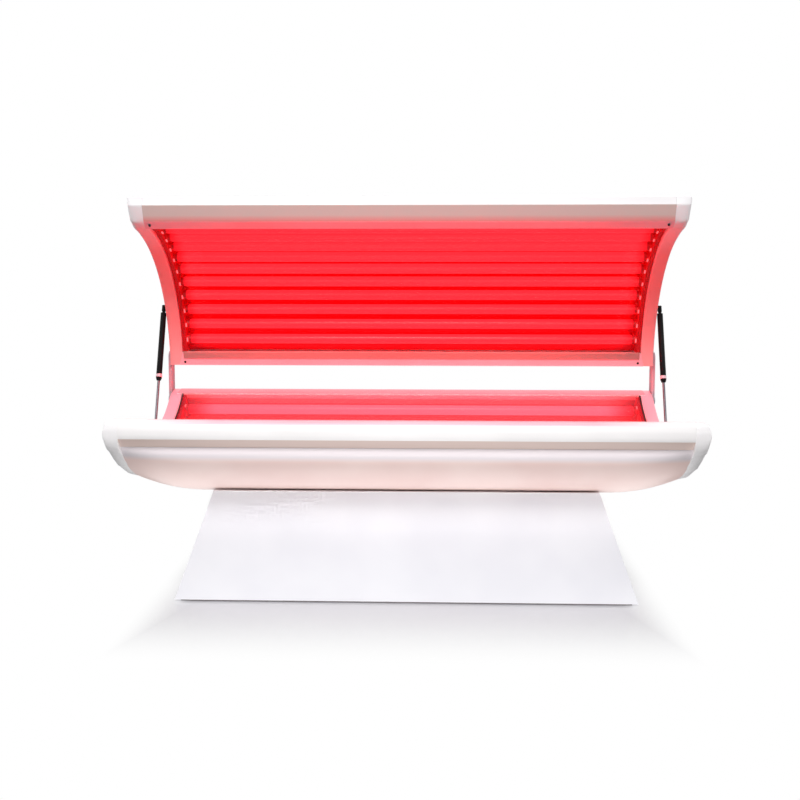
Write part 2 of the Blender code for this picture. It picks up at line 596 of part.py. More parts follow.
# Canopy rails and shell, bent sheets between the canopy's end caps
lip_flange = flange(CANOPY_CENTRE, CANOPY_RADIUS, -CANOPY_ANGLE, 1)
lip_way = (Vector(shell_curve[0]) - Vector(LIP[-1])).normalized()
lip_end = Vector(shell_curve[0]) - lip_way * SEAT_GAP * 2
lip_line = lip_flange + LIP + [tuple(lip_end)]
plate("canopy_lip_rail", [strip(lip_line, -RAIL_WALL)], -SPAN_X, SPAN_X, WHITE_METAL, canopy)
rear_flange = flange(CANOPY_CENTRE, CANOPY_RADIUS, CANOPY_LIT_REAR, 1)
rear_edge = arc(CANOPY_CENTRE, CANOPY_RADIUS, CANOPY_LIT_REAR, CANOPY_ANGLE, 1, 3)[1:]
foot_height = CANOPY_EDGE_UP + CANOPY_FOOT_UP
rear_foot = [(SHELL_REAR - CANOPY_FOOT_WIDTH, foot_height), (SHELL_REAR, foot_height)]
rear_rail_line = rear_flange + rear_edge + rear_foot
plate("canopy_rear_rail", [strip(rear_rail_line, RAIL_WALL)], -SPAN_X, SPAN_X, WHITE_METAL, canopy)
shell_line = shell_curve + [(SHELL_REAR, foot_height + RAIL_WALL + SEAT_GAP)]
plate("canopy_shell", [strip(shell_line, -SHELL_WALL)], -SPAN_X, SPAN_X, WHITE_PLASTIC, canopy)

# Canopy end caps, which close the lip, the lamp bank and the shell
lamp_curve_edge = arc(CANOPY_CENTRE, CANOPY_RADIUS, -CANOPY_ANGLE, CANOPY_ANGLE, 1)
canopy_low = sorted(LIP[:3]) + lamp_curve_edge + rear_foot
canopy_high = LIP[2:] + shell_curve
canopy_nose = LIP[2][0]
canopy_stations = sorted({round(y, 5) for y, _ in canopy_low + canopy_high})
for side, sign in SIDES:
    rings = []
    for y in canopy_stations:
        low, high = value_at(canopy_low, y), value_at(canopy_high, y)
        spread = max(0.0, CANOPY_CAP_NOSE_HALF - (high - low) / 2)
        bulge = CANOPY_CAP_BULGE * swell(y - canopy_nose, CANOPY_CAP_BULGE_REACH)
        rings.append(cap_ring(y, high + spread, low - spread, low - spread, CANOPY_CAP_FACE_X, bulge, sign))
    loft(f"canopy_end_cap_{side}", rings, WHITE_PLASTIC, canopy)

# Rubber bumpers under the lip, which meet the bed's front rail when the canopy is down
lip_underside = [LIP[0], lip_flange[1]]
bumper_turn = math.atan2(lip_underside[1][1] - lip_underside[0][1], lip_underside[1][0] - lip_underside[0][0])
bumper_y = EDGE_FRONT - BUMPER_OUT
bumper_top = value_at(lip_underside, bumper_y) - SEAT_GAP / math.cos(bumper_turn)
bumper_profile = [(0, 0), (BUMPER_RADIUS, 0), (BUMPER_RADIUS, -BUMPER_SIDE),
                  (BUMPER_TIP_RADIUS, -BUMPER_HEIGHT), (0, -BUMPER_HEIGHT)]
for side, sign in SIDES:
    turned(f"lip_bumper_{side}", bumper_profile, BLACK_RUBBER, canopy,
           (sign * (SPAN_X - BUMPER_END_IN), bumper_y, bumper_top), (bumper_turn, 0, 0))

# Hinges: a flanged pin on each end of the bed, and an arm on each end of the canopy that turns on it
flange_start = CAP_FACE_X + SEAT_GAP
flange_end = flange_start + PIN_FLANGE_THICKNESS
arm_start = CANOPY_CAP_FACE_X + SEAT_GAP
arm_end = arm_start + ARM_THICKNESS
head_start = arm_end + SEAT_GAP
head_end = head_start + PIN_HEAD_THICKNESS
arm_tip = (SHELL_REAR - ARM_END_IN, CANOPY_EDGE_UP + ARM_END_UP)
arm_angle = math.atan2(arm_tip[1], arm_tip[0])
half_steps = ROUND_STEPS // 2
arm_outline = []
for (end_y, end_z), first in ((arm_tip, arm_angle - math.pi / 2), ((0, 0), arm_angle + math.pi / 2)):
    for step in range(half_steps + 1):
        turn = first + math.pi * step / half_steps
        arm_outline.append((end_y + ARM_HALF_WIDTH * math.cos(turn), end_z + ARM_HALF_WIDTH * math.sin(turn)))
bore_radius = (PIN_RADIUS + TURN_GAP) / math.cos(math.pi / ROUND_STEPS)
pin_profile = [(0, head_end), (PIN_HEAD_RADIUS, head_end), (PIN_HEAD_RADIUS, head_start),
               (PIN_RADIUS, head_start), (PIN_RADIUS, flange_end), (PIN_FLANGE_RADIUS, flange_end),
               (PIN_FLANGE_RADIUS, flange_start), (0, flange_start)]
for side, sign in SIDES:
    plate(f"hinge_arm_{side}", [arm_outline, ring((0, 0), bore_radius, ROUND_STEPS)],
          sign * arm_start, sign * arm_end, WHITE_PAINT, canopy)
    turned(f"hinge_pin_{side}", pin_profile, STEEL, base, (0, HINGE_Y, HINGE_HEIGHT),
           (0, sign * math.pi / 2, 0))

# Gas struts: the cylinder turns on a stud on the canopy, and its rod reaches a stud on the bed
strut_line = UPPER_STUD - LOWER_STUD
strut_length = strut_line.length
strut_turn = math.atan2(-strut_line.x, strut_line.y)
stud_end = STRUT_X - SOCKET_RADIUS - SEAT_GAP
body_top = -(SOCKET_BEFORE + SOCKET_NECK)
body_foot = body_top - STRUT_BODY_LENGTH
gland_foot = body_foot - STRUT_GLAND_LENGTH
bore_top = body_top - STRUT_END_WALL
rod_bore = (ROD_RADIUS + TURN_GAP) / math.cos(math.pi / ROUND_STEPS)
rod_top = strut_length + gland_foot + ROD_ENGAGED
cylinder_profile = [(0, SOCKET_BEYOND), (SOCKET_RADIUS, SOCKET_BEYOND), (SOCKET_RADIUS, -SOCKET_BEFORE),
                    (SOCKET_NECK_RADIUS, -SOCKET_BEFORE), (SOCKET_NECK_RADIUS, body_top),
                    (STRUT_RADIUS, body_top), (STRUT_RADIUS, body_foot), (STRUT_GLAND_RADIUS, body_foot),
                    (STRUT_GLAND_RADIUS, gland_foot), (rod_bore, gland_foot), (rod_bore, bore_top),
                    (0, bore_top)]
rod_profile = [(0, rod_top), (ROD_RADIUS, rod_top), (ROD_RADIUS, SOCKET_BEFORE),
               (SOCKET_RADIUS, SOCKET_BEFORE), (SOCKET_RADIUS, -SOCKET_BEYOND), (0, -SOCKET_BEYOND)]


def stud_profile(start):
    """A ball stud from the face it is screwed to out to the strut's socket."""
    base_end = start + STUD_BASE_THICKNESS
    return [(0, stud_end), (STUD_NECK_RADIUS, stud_end), (STUD_NECK_RADIUS, base_end),
            (STUD_BASE_RADIUS, base_end), (STUD_BASE_RADIUS, start), (0, start)]


for side, sign in SIDES:
    along = (0, sign * math.pi / 2, 0)
    turned(f"strut_upper_stud_{side}", stud_profile(arm_start), STEEL, canopy, (0, *UPPER_ON_CANOPY), along)
    turned(f"strut_lower_stud_{side}", stud_profile(flange_start), STEEL, base, (0, *LOWER_STUD), along)
    pivot = frame_point(f"strut_pivot_{side}", canopy, (sign * STRUT_X, *UPPER_ON_CANOPY),
                        strut_turn - OPEN_TURN)
    turned(f"strut_cylinder_{side}", cylinder_profile, BLACK_PAINT, pivot, (0, 0, 0), (0, 0, 0))
    turned(f"strut_rod_{side}", rod_profile, CHROME, pivot, (0, 0, -strut_length), (0, 0, 0))

# Round pieces shade smoothly, with crisp edges
for item in parts.objects:
    if item.type == "MESH":
        item.data.shade_smooth()
        item.data.set_sharp_from_angle(angle=math.radians(SHARP_ANGLE))
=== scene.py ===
import json
import math

import bmesh
import bpy
from mathutils import Matrix, Vector
from mathutils.geometry import intersect_line_line


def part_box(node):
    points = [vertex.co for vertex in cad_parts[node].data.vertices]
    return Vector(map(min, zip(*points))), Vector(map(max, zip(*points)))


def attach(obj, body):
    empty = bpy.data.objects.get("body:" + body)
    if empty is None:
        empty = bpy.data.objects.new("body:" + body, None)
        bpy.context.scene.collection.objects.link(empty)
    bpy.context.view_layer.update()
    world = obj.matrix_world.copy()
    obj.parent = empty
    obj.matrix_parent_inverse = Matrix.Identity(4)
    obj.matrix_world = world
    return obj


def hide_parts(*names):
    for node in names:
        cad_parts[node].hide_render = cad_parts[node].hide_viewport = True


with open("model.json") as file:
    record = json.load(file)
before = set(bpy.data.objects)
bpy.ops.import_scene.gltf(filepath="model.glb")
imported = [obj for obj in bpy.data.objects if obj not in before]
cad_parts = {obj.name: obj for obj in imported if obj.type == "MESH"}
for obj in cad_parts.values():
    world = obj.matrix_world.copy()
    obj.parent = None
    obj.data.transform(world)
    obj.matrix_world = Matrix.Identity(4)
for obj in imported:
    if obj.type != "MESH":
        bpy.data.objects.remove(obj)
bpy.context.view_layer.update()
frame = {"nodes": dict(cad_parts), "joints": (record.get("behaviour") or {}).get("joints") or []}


# Pedestal panels: four leaning boards of lacquered fibreboard, butted at the corners and screwed from inside
# to the floor and top plates. Their edges are eased with a sanding block before spraying.
PANEL_EASE = 0.0015
MERGE_GAP = 0.00003         # corners of CAD triangles this near are one point
FLAT_TURN = 0.5             # degrees that the faces of one plane may turn
HARD_TURN = 38              # degrees past which an edge stays hard
SHADE_STOPS = (0.35, 0.65)  # values of the broad noise at which a finish has its two shades
RELIEF_STRENGTH = 0.5
PER_METRE = 1000            # millimetres
nodes = frame["nodes"]


def linear(code):
    """Linear colour of an sRGB hex value."""
    parts = [int(code[i:i + 2], 16) / 255 for i in (0, 2, 4)]
    return [p / 12.92 if p <= 0.04045 else ((p + 0.055) / 1.055) ** 2.4 for p in parts] + [1.0]


def add(tree, kind, links=None, **settings):
    """Add a node with its settings, and set or link its inputs."""
    made = tree.nodes.new("ShaderNode" + kind)
    for name, value in settings.items():
        setattr(made, name, value)
    for socket, source in (links or {}).items():
        if isinstance(source, bpy.types.NodeSocket):
            tree.links.new(source, made.inputs[socket])
        else:
            made.inputs[socket].default_value = source
    return made


def finish(name, shades, roughness, grain, relief, stretch=(1, 1, 1), drift=250, sheen=0.05, **sockets):
    """A surface that drifts between two shades, with a grain in sheen and relief; sizes in millimetres."""
    material = bpy.data.materials.new(name)
    material.use_nodes = True
    tree = material.node_tree
    shader = tree.nodes["Principled BSDF"]
    place = add(tree, "TexCoord").outputs["Object"]
    along = add(tree, "Mapping", {"Vector": place, "Scale": stretch}).outputs["Vector"]
    fine = add(tree, "TexNoise", {"Vector": along, "Scale": PER_METRE / grain, "Detail": 3.0}).outputs["Fac"]
    broad = add(tree, "TexNoise", {"Vector": along, "Scale": PER_METRE / drift, "Detail": 2.0}).outputs["Fac"]
    ramp = add(tree, "ValToRGB", {"Fac": broad})
    for stop, position, shade in zip(ramp.color_ramp.elements, SHADE_STOPS, shades):
        stop.position = position
        stop.color = linear(shade)
    gloss = add(tree, "MapRange", {"Value": fine, "To Min": roughness - sheen, "To Max": roughness + sheen})
    bump = add(tree, "Bump", {"Height": fine, "Distance": relief / PER_METRE, "Strength": RELIEF_STRENGTH})
    tree.links.new(ramp.outputs["Color"], shader.inputs["Base Color"])
    tree.links.new(gloss.outputs["Result"], shader.inputs["Roughness"])
    tree.links.new(bump.outputs["Normal"], shader.inputs["Normal"])
    for socket, value in sockets.items():
        shader.inputs[socket.replace("_", " ")].default_value = value
    return material


def from_node(name):
    """The shape of a CAD node, with its loose triangles merged."""
    shape = bmesh.new()
    shape.from_mesh(nodes[name].data)
    bmesh.ops.remove_doubles(shape, verts=shape.verts, dist=MERGE_GAP)
    return shape


def flat_faced(name):
    """The shape of a CAD node, with the triangles of each plane joined to one face."""
    shape = from_node(name)
    bmesh.ops.dissolve_limit(shape, angle_limit=math.radians(FLAT_TURN), verts=shape.verts, edges=shape.edges)
    return shape


def ease(shape, width, low=30, high=181, segments=3, above=0.0):
    """Round the edges above a height that turn by an angle between two limits, in degrees."""
    edges = [e for e in shape.edges if len(e.link_faces) == 2 and min(v.co.z for v in e.verts) >= above
             and math.radians(low) < e.calc_face_angle(0) < math.radians(high)]
    bmesh.ops.bevel(shape, geom=edges, offset=width, offset_type="OFFSET", affect="EDGES", segments=segments,
                    profile=0.5, material=-1, clamp_overlap=True)


def piece(name, shape, materials, body, slot, *stands_for, crisp=HARD_TURN):
    """Make a shape a piece that rides on a body and stands for CAD nodes; edges over crisp stay hard."""
    mesh = bpy.data.meshes.new(name)
    shape.to_mesh(mesh)
    shape.free()
    # A CAD node's own stored normals don't fit its eased edges.
    if "custom_normal" in mesh.attributes:
        mesh.attributes.remove(mesh.attributes["custom_normal"])
    for material in materials:
        mesh.materials.append(material)
    mesh.shade_smooth()
    mesh.set_sharp_from_angle(angle=math.radians(crisp))
    made = bpy.data.objects.new(name, mesh)
    bpy.context.scene.collection.objects.link(made)
    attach(made, body)
    if stands_for:
        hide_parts(*stands_for)
    return made


# Here and below, a grain finer than a millimetre is drawn a millimetre or more across, so that it shows.
# Sprayed lacquer is an even white with a soft sheen and a faint orange peel.
LACQUER = finish("white_lacquered_board", ("EFEEF3", "E9E8EE"), roughness=0.38, grain=3, relief=0.05, IOR=1.5)
for side in ("front", "rear", "left", "right"):
    panel = f"pedestal_{side}_panel"
    board = flat_faced(panel)
    ease(board, PANEL_EASE)
    piece(f"{panel}_board", board, [LACQUER], "bed", "white_board", panel)


# Floor plate and top plate: plywood boards, stained brown, that hold the four panels square and carry the
# hull. They are sawn and only lightly sanded, so the grain shows through the stain.
PLATE_EASE = 0.001
# Stained plywood is a dull brown, streaked along the bed.
PLY = finish("brown_stained_plywood", ("5C5250", "6B605D"), roughness=0.62, grain=4, relief=0.2,
             stretch=(1, 14, 14), drift=50)
for plate in ("pedestal_floor_plate", "pedestal_top_plate"):
    board = flat_faced(plate)
    ease(board, PLATE_EASE, segments=2)
    piece(f"{plate}_board", board, [PLY], "bed", "dark_board", plate)


# Ballast: a potted box for the lamps, folded from steel sheet and powder-coated dark, screwed to the floor
# plate. It is closed in by the pedestal.
BALLAST_EASE = 0.004
# Baked powder on steel sheet is a dull slate grey with a fine bumpy skin.
CASING = finish("dark_powder_coated_steel", ("2B2B30", "35353B"), roughness=0.5, grain=2, relief=0.1)
ballast = flat_faced("ballast_box")
ease(ballast, BALLAST_EASE)
piece("ballast_casing", ballast, [CASING], "bed", "dark_casing", "ballast_box")


# Mains inlet and switch: a black moulded panel fitting on the rear panel, with a three-pin socket beside a
# rocker. The pins are plated brass, and a blackened screw in each corner holds the fitting.
INLET_EASE = 0.0008
PIN_EASE = 0.0004
PIN_SIZE = (0.002, 0.004, 0.006)    # width, height and length of an inlet pin
PIN_SPREAD = 0.007                  # middle pin to each outer pin
PIN_STEP = 0.004                    # middle pin above the outer two
CAVITY_DEPTH = 0.009
SOCKET_SIDE = 0.0105                # middle of the fitting to the middle of its socket
INLET_SCREW = (0.0255, 0.0205)      # middle of the fitting to a screw, across and up
INLET_SCREW_RADIUS = 0.0025
SCREW_HEIGHT = 0.0018
SCREW_SIDES = 18
SCREW_CROWN = 0.8                   # radius of the crown over that of the foot
SCREW_RIM = 0.35                    # width of the rim round the recess, over the foot's radius
SCREW_RECESS = 0.5                  # depth of the recess over the head's height
# Moulded nylon is black with a dull, grained skin.
BLACK_MOULDING = finish("black_moulded_nylon", ("1B1B1D", "242427"), roughness=0.48, grain=1, relief=0.1)
# Nickel plate is bright and slightly yellow.
PLATED_BRASS = finish("nickel_plated_brass", ("C8C2B4", "D6D0C2"), roughness=0.25, grain=1, relief=0.02,
                      Metallic=1.0)
# Blackened steel is a brownish black that is still half bright.
BLACKENED = finish("blackened_screw_steel", ("2A1D20", "33262A"), roughness=0.42, grain=1, relief=0.05,
                   Metallic=0.8)


def screw_head(shape, spot, out, radius, height):
    """Add a pan head with a recessed middle, seated at a spot and facing out."""
    place = Matrix.Translation(spot + out * height / 2) @ out.to_track_quat("Z", "Y").to_matrix().to_4x4()
    made = bmesh.ops.create_cone(shape, cap_ends=True, segments=SCREW_SIDES, radius1=radius,
                                 radius2=radius * SCREW_CROWN, depth=height, matrix=place)["verts"]
    crown = max({f for v in made for f in v.link_faces}, key=lambda f: f.calc_center_median().dot(out))
    bmesh.ops.inset_individual(shape, faces=[crown], thickness=radius * SCREW_RIM)
    bmesh.ops.translate(shape, verts=crown.verts, vec=-out * height * SCREW_RECESS)


rear_faces = [f for f in nodes["pedestal_rear_panel"].data.polygons if f.normal.y > 0]
panel_out = max(rear_faces, key=lambda f: f.area).normal.copy()
panel_up = Vector((0, -panel_out.z, panel_out.y))
inlet = flat_faced("power_inlet")
inlet_low, inlet_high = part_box("power_inlet")
inlet_rises = [v.co.dot(panel_up) for v in inlet.verts]
inlet_front = max(v.co.dot(panel_out) for v in inlet.verts)
inlet_middle = panel_out * inlet_front + panel_up * (min(inlet_rises) + max(inlet_rises)) / 2
inlet_middle.x = (inlet_low.x + inlet_high.x) / 2
ease(inlet, INLET_EASE, segments=2)
piece("power_inlet_moulding", inlet, [BLACK_MOULDING], "bed", "black_plastic", "power_inlet")
inlet_lean = Matrix((Vector((-1, 0, 0)), panel_up, panel_out)).transposed().to_4x4()
pins = bmesh.new()
for across, rise in ((-PIN_SPREAD, 0), (0, PIN_STEP), (PIN_SPREAD, 0)):
    pin = bmesh.ops.create_cube(pins, size=1.0)["verts"]
    bmesh.ops.scale(pins, verts=pin, vec=PIN_SIZE)
    bmesh.ops.translate(pins, verts=pin, vec=(SOCKET_SIDE + across, rise - PIN_STEP / 2,
                                              PIN_SIZE[2] / 2 - CAVITY_DEPTH))
bmesh.ops.transform(pins, matrix=Matrix.Translation(inlet_middle) @ inlet_lean, verts=pins.verts)
ease(pins, PIN_EASE, segments=2)
piece("power_inlet_pins", pins, [PLATED_BRASS], "bed", "steel")
inlet_screws = bmesh.new()
for across in (-1, 1):
    for up in (-1, 1):
        corner = inlet_middle + panel_up * INLET_SCREW[1] * up
        corner.x += INLET_SCREW[0] * across
        screw_head(inlet_screws, corner, panel_out, INLET_SCREW_RADIUS, SCREW_HEIGHT)
piece("power_inlet_screws", inlet_screws, [BLACKENED], "bed", "steel")
rocker = flat_faced("power_switch")
ease(rocker, INLET_EASE, low=20, segments=2)
piece("power_switch_rocker", rocker, [BLACK_MOULDING], "power_switch", "black_plastic", "power_switch")


# Rear panel screws: the rear board comes off for service, so zinc-plated pan heads hold it to the plates
# along its top and bottom edges.
PANEL_SCREW_RADIUS = 0.0045
PANEL_SCREW_IN = 0.035              # from the board's edges
PANEL_SCREW_SHARES = (-1, -1 / 3, 1 / 3, 1)   # places along the board, out of the outermost
# Zinc plate is a bluish grey metal with a soft shine.
ZINC = finish("zinc_plated_steel", ("9A9AA0", "ADADB3"), roughness=0.34, grain=3, relief=0.05, Metallic=1.0)
panel_spots = [v.co for v in nodes["pedestal_rear_panel"].data.vertices]
panel_front = max(spot.dot(panel_out) for spot in panel_spots)
panel_rises = [spot.dot(panel_up) for spot in panel_spots]
panel_screws = bmesh.new()
for rise, inset in ((min(panel_rises), PANEL_SCREW_IN), (max(panel_rises), -PANEL_SCREW_IN)):
    half_width = max(abs(spot.x) for spot in panel_spots if abs(spot.dot(panel_up) - rise) < PANEL_SCREW_IN)
    for share in PANEL_SCREW_SHARES:
        spot = panel_out * panel_front + panel_up * (rise + inset)
        spot.x = share * (half_width - 2 * PANEL_SCREW_IN)
        screw_head(panel_screws, spot, panel_out, PANEL_SCREW_RADIUS, SCREW_HEIGHT)
piece("pedestal_rear_panel_screws", panel_screws, [ZINC], "bed", "steel")


# Hull: one thin tub, vacuum-formed from white ABS, level along the middle and drawn up to the ends. It hangs
# from the two rails and sits on the pedestal's top plate.
BED_SEAM = 0.9148           # middle of the bed to the seam between rails, hull and end cap
SEAM_GAP = 0.0003
TUB_EASE = 0.0009
RIM_TUCK = 0.0012           # the tub's rim reaches up under the rails by this
RIM_BAND = 0.001            # points this near the top belong to the rim
TUB_HIGHLIGHT_BAND = (0.500, 0.516)  # heights over which a painted highlight turns the upright band paler
QUAD_TURN = 40              # degrees that the two triangles of a quad may turn
QUAD_SKEW = 70              # degrees that its corners may be out of square
SMOOTH_LEVELS = 2


def in_quads(name):
    """A CAD node's shape with its triangles joined to quads, ready to be eased and subdivided."""
    shape = from_node(name)
    bmesh.ops.join_triangles(shape, faces=shape.faces, angle_face_threshold=math.radians(QUAD_TURN),
                             angle_shape_threshold=math.radians(QUAD_SKEW))
    return shape


def subdivide(made):
    """Smooth a piece with a subdivision surface."""
    surface = made.modifiers.new("smooth", "SUBSURF")
    surface.levels = SMOOTH_LEVELS
    surface.render_levels = SMOOTH_LEVELS


def lengthen(shape, reach):
    """Stretch a shape along the bed until its ends are at a distance from the middle."""
    half_length = max(abs(v.co.x) for v in shape.verts)
    bmesh.ops.scale(shape, verts=shape.verts, vec=(reach / half_length, 1, 1))


def turn_colour(material, axis, first, last, shade):
    """Turn a material's colour to another shade between two distances from the middle along an axis."""
    tree = material.node_tree
    paint = tree.nodes["Principled BSDF"].inputs["Base Color"]
    plain = paint.links[0].from_socket
    place = add(tree, "SeparateXYZ", {"Vector": add(tree, "TexCoord").outputs["Object"]}).outputs[axis]
    away = add(tree, "Math", {0: place}, operation="ABSOLUTE").outputs[0]
    share = add(tree, "MapRange", {"Value": away, "From Min": first, "From Max": last}).outputs["Result"]
    tint = add(tree, "MixRGB", {"Fac": share, "Color1": plain, "Color2": linear(shade)})
    tree.links.new(tint.outputs["Color"], paint)


# Formed ABS is white, painted warm pink here as shade under the bed; soft gloss and a fine skin grain.
TUB_ABS = finish("formed_abs_painted_pink_shade", ("F9DFD9", "F4D6D0"), roughness=0.34, grain=2, relief=0.04, IOR=1.5)
# The tub's upright band turns a paler, cooler white: a painted highlight where it faces the light.
turn_colour(TUB_ABS, "Z", *TUB_HIGHLIGHT_BAND, "EAE1E5")
tub = in_quads("bed_hull")
ease(tub, TUB_EASE, low=50, segments=2)
lengthen(tub, BED_SEAM - SEAM_GAP)
tub_top = max(v.co.z for v in tub.verts)
rim = [v for v in tub.verts if v.co.z > tub_top - RIM_BAND]
bmesh.ops.translate(tub, verts=rim, vec=(0, 0, RIM_TUCK))
subdivide(piece("bed_hull_tub", tub, [TUB_ABS], "bed", "white_plastic", "bed_hull"))


# Rails of the bed: two long aluminium extrusions, powder-coated white, with rounded tops. Their flanges hold
# the edges of the acrylic, and their feet close over the hull.
RAIL_ROUND = 0.0045         # radius at the bends
RAIL_CRISP = 0.585          # height below which a rail's long edge is left sharp
RAIL_HARD_TURN = 20         # degrees past which an edge of an extrusion stays hard
CUT_EASE = 0.0006           # at the cut edges of a sheet or an extrusion
RETURN_FACING = -0.5        # how far down a return face looks to take the painted shade
TOP_FACING = {"bed_front_rail": 0.5, "bed_rear_rail": 0.3}   # how far up a face looks to take the lamps' tone
BLUSH_FADE = (0.60, 0.85)   # distances from the middle of the bed


def extrusion(name, reach, bend, crisp_below=0.0):
    """A CAD extrusion of a given reach, with rounded bends and eased cut edges."""
    shape = flat_faced(name)
    lengthen(shape, reach)
    ease(shape, bend, low=6, high=55, segments=4, above=crisp_below)
    ease(shape, CUT_EASE, low=20, segments=2)
    shape.normal_update()
    return shape


def powder_coat(name, *shades):
    """Baked powder on aluminium, satin with a faint orange peel."""
    return finish(name, shades, roughness=0.36, grain=2.5, relief=0.06)


# The coat is a clean, bright white.
POWDER = powder_coat("white_powder_coated_aluminium", "FAF7F7", "F5F2F2")
# On the rear rail's top it takes a rose tone from the lamps over it.
LIT_POWDER = powder_coat("rose_lit_powder_coat", "F5929F", "F18896")
# The front rail's top is turned from them and only takes a blush, which fades towards the ends.
BLUSH_POWDER = powder_coat("blush_lit_powder_coat", "F8C2CE", "F4BAC7")
turn_colour(BLUSH_POWDER, "X", *BLUSH_FADE, "FAF7F7")
TOP_POWDER = {"bed_front_rail": BLUSH_POWDER, "bed_rear_rail": LIT_POWDER}
# The return under a rail's face is painted a warm grey shade, on aluminium with drawn lines along it.
RETURN_SHADE = finish("aluminium_painted_return_shade", ("E6CFC7", "DFC7BE"), roughness=0.40, grain=2.5,
                     relief=0.04, stretch=(0.03, 1, 1))
for rail in ("bed_front_rail", "bed_rear_rail"):
    bar = extrusion(rail, BED_SEAM - SEAM_GAP, RAIL_ROUND, crisp_below=RAIL_CRISP)
    for face in bar.faces:
        if face.normal.z > TOP_FACING[rail]:
            face.material_index = 2
        elif face.normal.z < RETURN_FACING and face.calc_center_median().z < RAIL_CRISP:
            face.material_index = 1
    piece(f"{rail}_extrusion", bar, [POWDER, RETURN_SHADE, TOP_POWDER[rail]], "bed", "white_rail", rail,
          crisp=RAIL_HARD_TURN)


# End caps of the bed: thick white ABS mouldings that close the ends, carry the rails and swell out towards
# the front. They are screwed on from inside, so only a fine seam shows.
CAP_EASE = 0.003
CAP_FACE_BAND = 0.001       # points this near a cap's inner face belong to it
BED_RAIL_REACH = 0.089      # from a cap's front and rear edges to the far side of a rail
HULL_DROP = 0.03            # the hull's edge is further than this below the acrylic's
CAP_FACE_END = 0.9          # the inner faces of the caps are nearer than this to the middle of the bed
LEVEL_GAP = 0.0001          # points this near in depth are one above the other
LIT_FACING = 0.55           # how squarely a face looks at the lamps to take their glow
LIT_REAR = 0.035            # further from the lamps' middle than the acrylic, on the rear half


def moulded_abs(name, *shades, roughness=0.30):
    """Moulded ABS, glossy with a very fine skin grain."""
    return finish(name, shades, roughness, grain=2, relief=0.04, IOR=1.53)


def lamp_axes(half):
    """The lamps of one half in their order, each with the middle of its tube."""
    lamps = sorted(name for name in nodes if name.startswith(f"{half}_lamp_"))
    return {lamp: sum(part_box(lamp), Vector()) / 2 for lamp in lamps}


def in_section(spot):
    """A point moved along the bed into its middle cross-section."""
    return Vector((0, spot.y, spot.z))


def lamp_circle(half):
    """The middle of the circle that one half's lamps lie on, and the radius of its acrylic."""
    axes = list(lamp_axes(half).values())
    first, between, last = axes[0], axes[len(axes) // 2], axes[-1]
    along = Vector((1, 0, 0))
    front, rear = (first + between) / 2, (between + last) / 2
    middle = in_section(intersect_line_line(front, front + along.cross(between - first),
                                            rear, rear + along.cross(last - between))[0])
    sheet = nodes[f"{half}_acrylic"].data.vertices
    return middle, min((in_section(v.co) - middle).length for v in sheet)


def end_cap(name, seam, beside_rails):
    """A CAD end cap whose inner face stands back to the seam, except along the edge beside the lamps.

    Its faces that look at the lamps take the second material."""
    shape = in_quads(name)
    inner = min(abs(v.co.x) for v in shape.verts)
    for vert in shape.verts:
        if abs(vert.co.x) < inner + CAP_FACE_BAND and beside_rails(vert):
            vert.co.x = math.copysign(seam, vert.co.x)
    ease(shape, CAP_EASE, low=50, segments=2)
    middle, radius = lamp_circle(name.split("_")[0])
    shape.normal_update()
    for face in shape.faces:
        inward = middle - in_section(face.calc_center_median())
        reach = radius + (LIT_REAR if face.calc_center_median().y > 0 else 0)
        face.material_index = int(inward.length < reach and face.normal.dot(inward.normalized()) > LIT_FACING)
    return shape


bed_low, bed_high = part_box("bed_end_cap_left")


def beside_bed_rails(vert):
    """Whether a point of the cap's inner face is beside a rail, or low enough to be beside the hull."""
    level = [v for v in (e.other_vert(vert) for e in vert.link_edges) if abs(v.co.y - vert.co.y) < LEVEL_GAP]
    upper = max(level, key=lambda v: v.co.z, default=vert)
    beside_hull = upper.co.z > vert.co.z + HULL_DROP and abs(upper.co.x) < CAP_FACE_END
    return beside_hull or min(vert.co.y - bed_low.y, bed_high.y - vert.co.y) < BED_RAIL_REACH


# The bed's caps are a clean, cool white.
ABS = moulded_abs("white_moulded_abs", "FAF8F9", "F4F1F2", roughness=0.28)
# Beside the lamps the same plastic takes a pale rose from their light.
BED_LIT_ABS = moulded_abs("pale_rose_lit_abs", "F6ACBA", "F2A3B2")
for side in ("left", "right"):
    cap = f"bed_end_cap_{side}"
    moulding = end_cap(cap, BED_SEAM, beside_bed_rails)
    subdivide(piece(f"{cap}_moulding", moulding, [ABS, BED_LIT_ABS], "bed", "white_plastic", cap))


# Reflectors: a sheet of bright rolled aluminium behind the lamps of the bed, and one behind those of the
# canopy. Each is bent to the lamps' curve and slides into the rails.
HALVES = ("bed", "canopy")  # a half's pieces ride on the body of that name
# So near the lamps the bright sheet is a saturated red, with rolling lines along it.
REFLECTOR_SHEET = finish("red_lit_bright_aluminium", ("F4283A", "EE2033"), roughness=0.28, grain=2,
                         relief=0.03, stretch=(0.02, 1, 1), drift=20, Metallic=0.85)
for half in HALVES:
    reflector = f"{half}_reflector"
    piece(f"{reflector}_sheet", flat_faced(reflector), [REFLECTOR_SHEET], half, "reflector", reflector)


# Lampholders: a strip of moulded nylon across each end of a reflector, riveted to it, with a socket block for
# every tube. A small clip snaps into the front of each block and keeps the tube in.
SOCKET_LENGTH = 0.022       # along the bed
SOCKET_WIDTH = 0.036
SOCKET_FRONT = 0.017        # past the lamp's axis, towards the acrylic
SOCKET_BACK = 0.026         # behind the lamp's axis, to the reflector
SOCKET_ROUND = 0.016
SOCKET_STEPS = 6
CLIP_SIZE = (0.011, 0.015, 0.0024)
CLIP_IN = 0.003             # nearer the middle of the bed than its block
CLIP_SINK = 0.0004


def holder_nylon(name, *shades, roughness=0.5):
    """Moulded nylon, dull and finely grained."""
    return finish(name, shades, roughness, grain=1.5, relief=0.1)


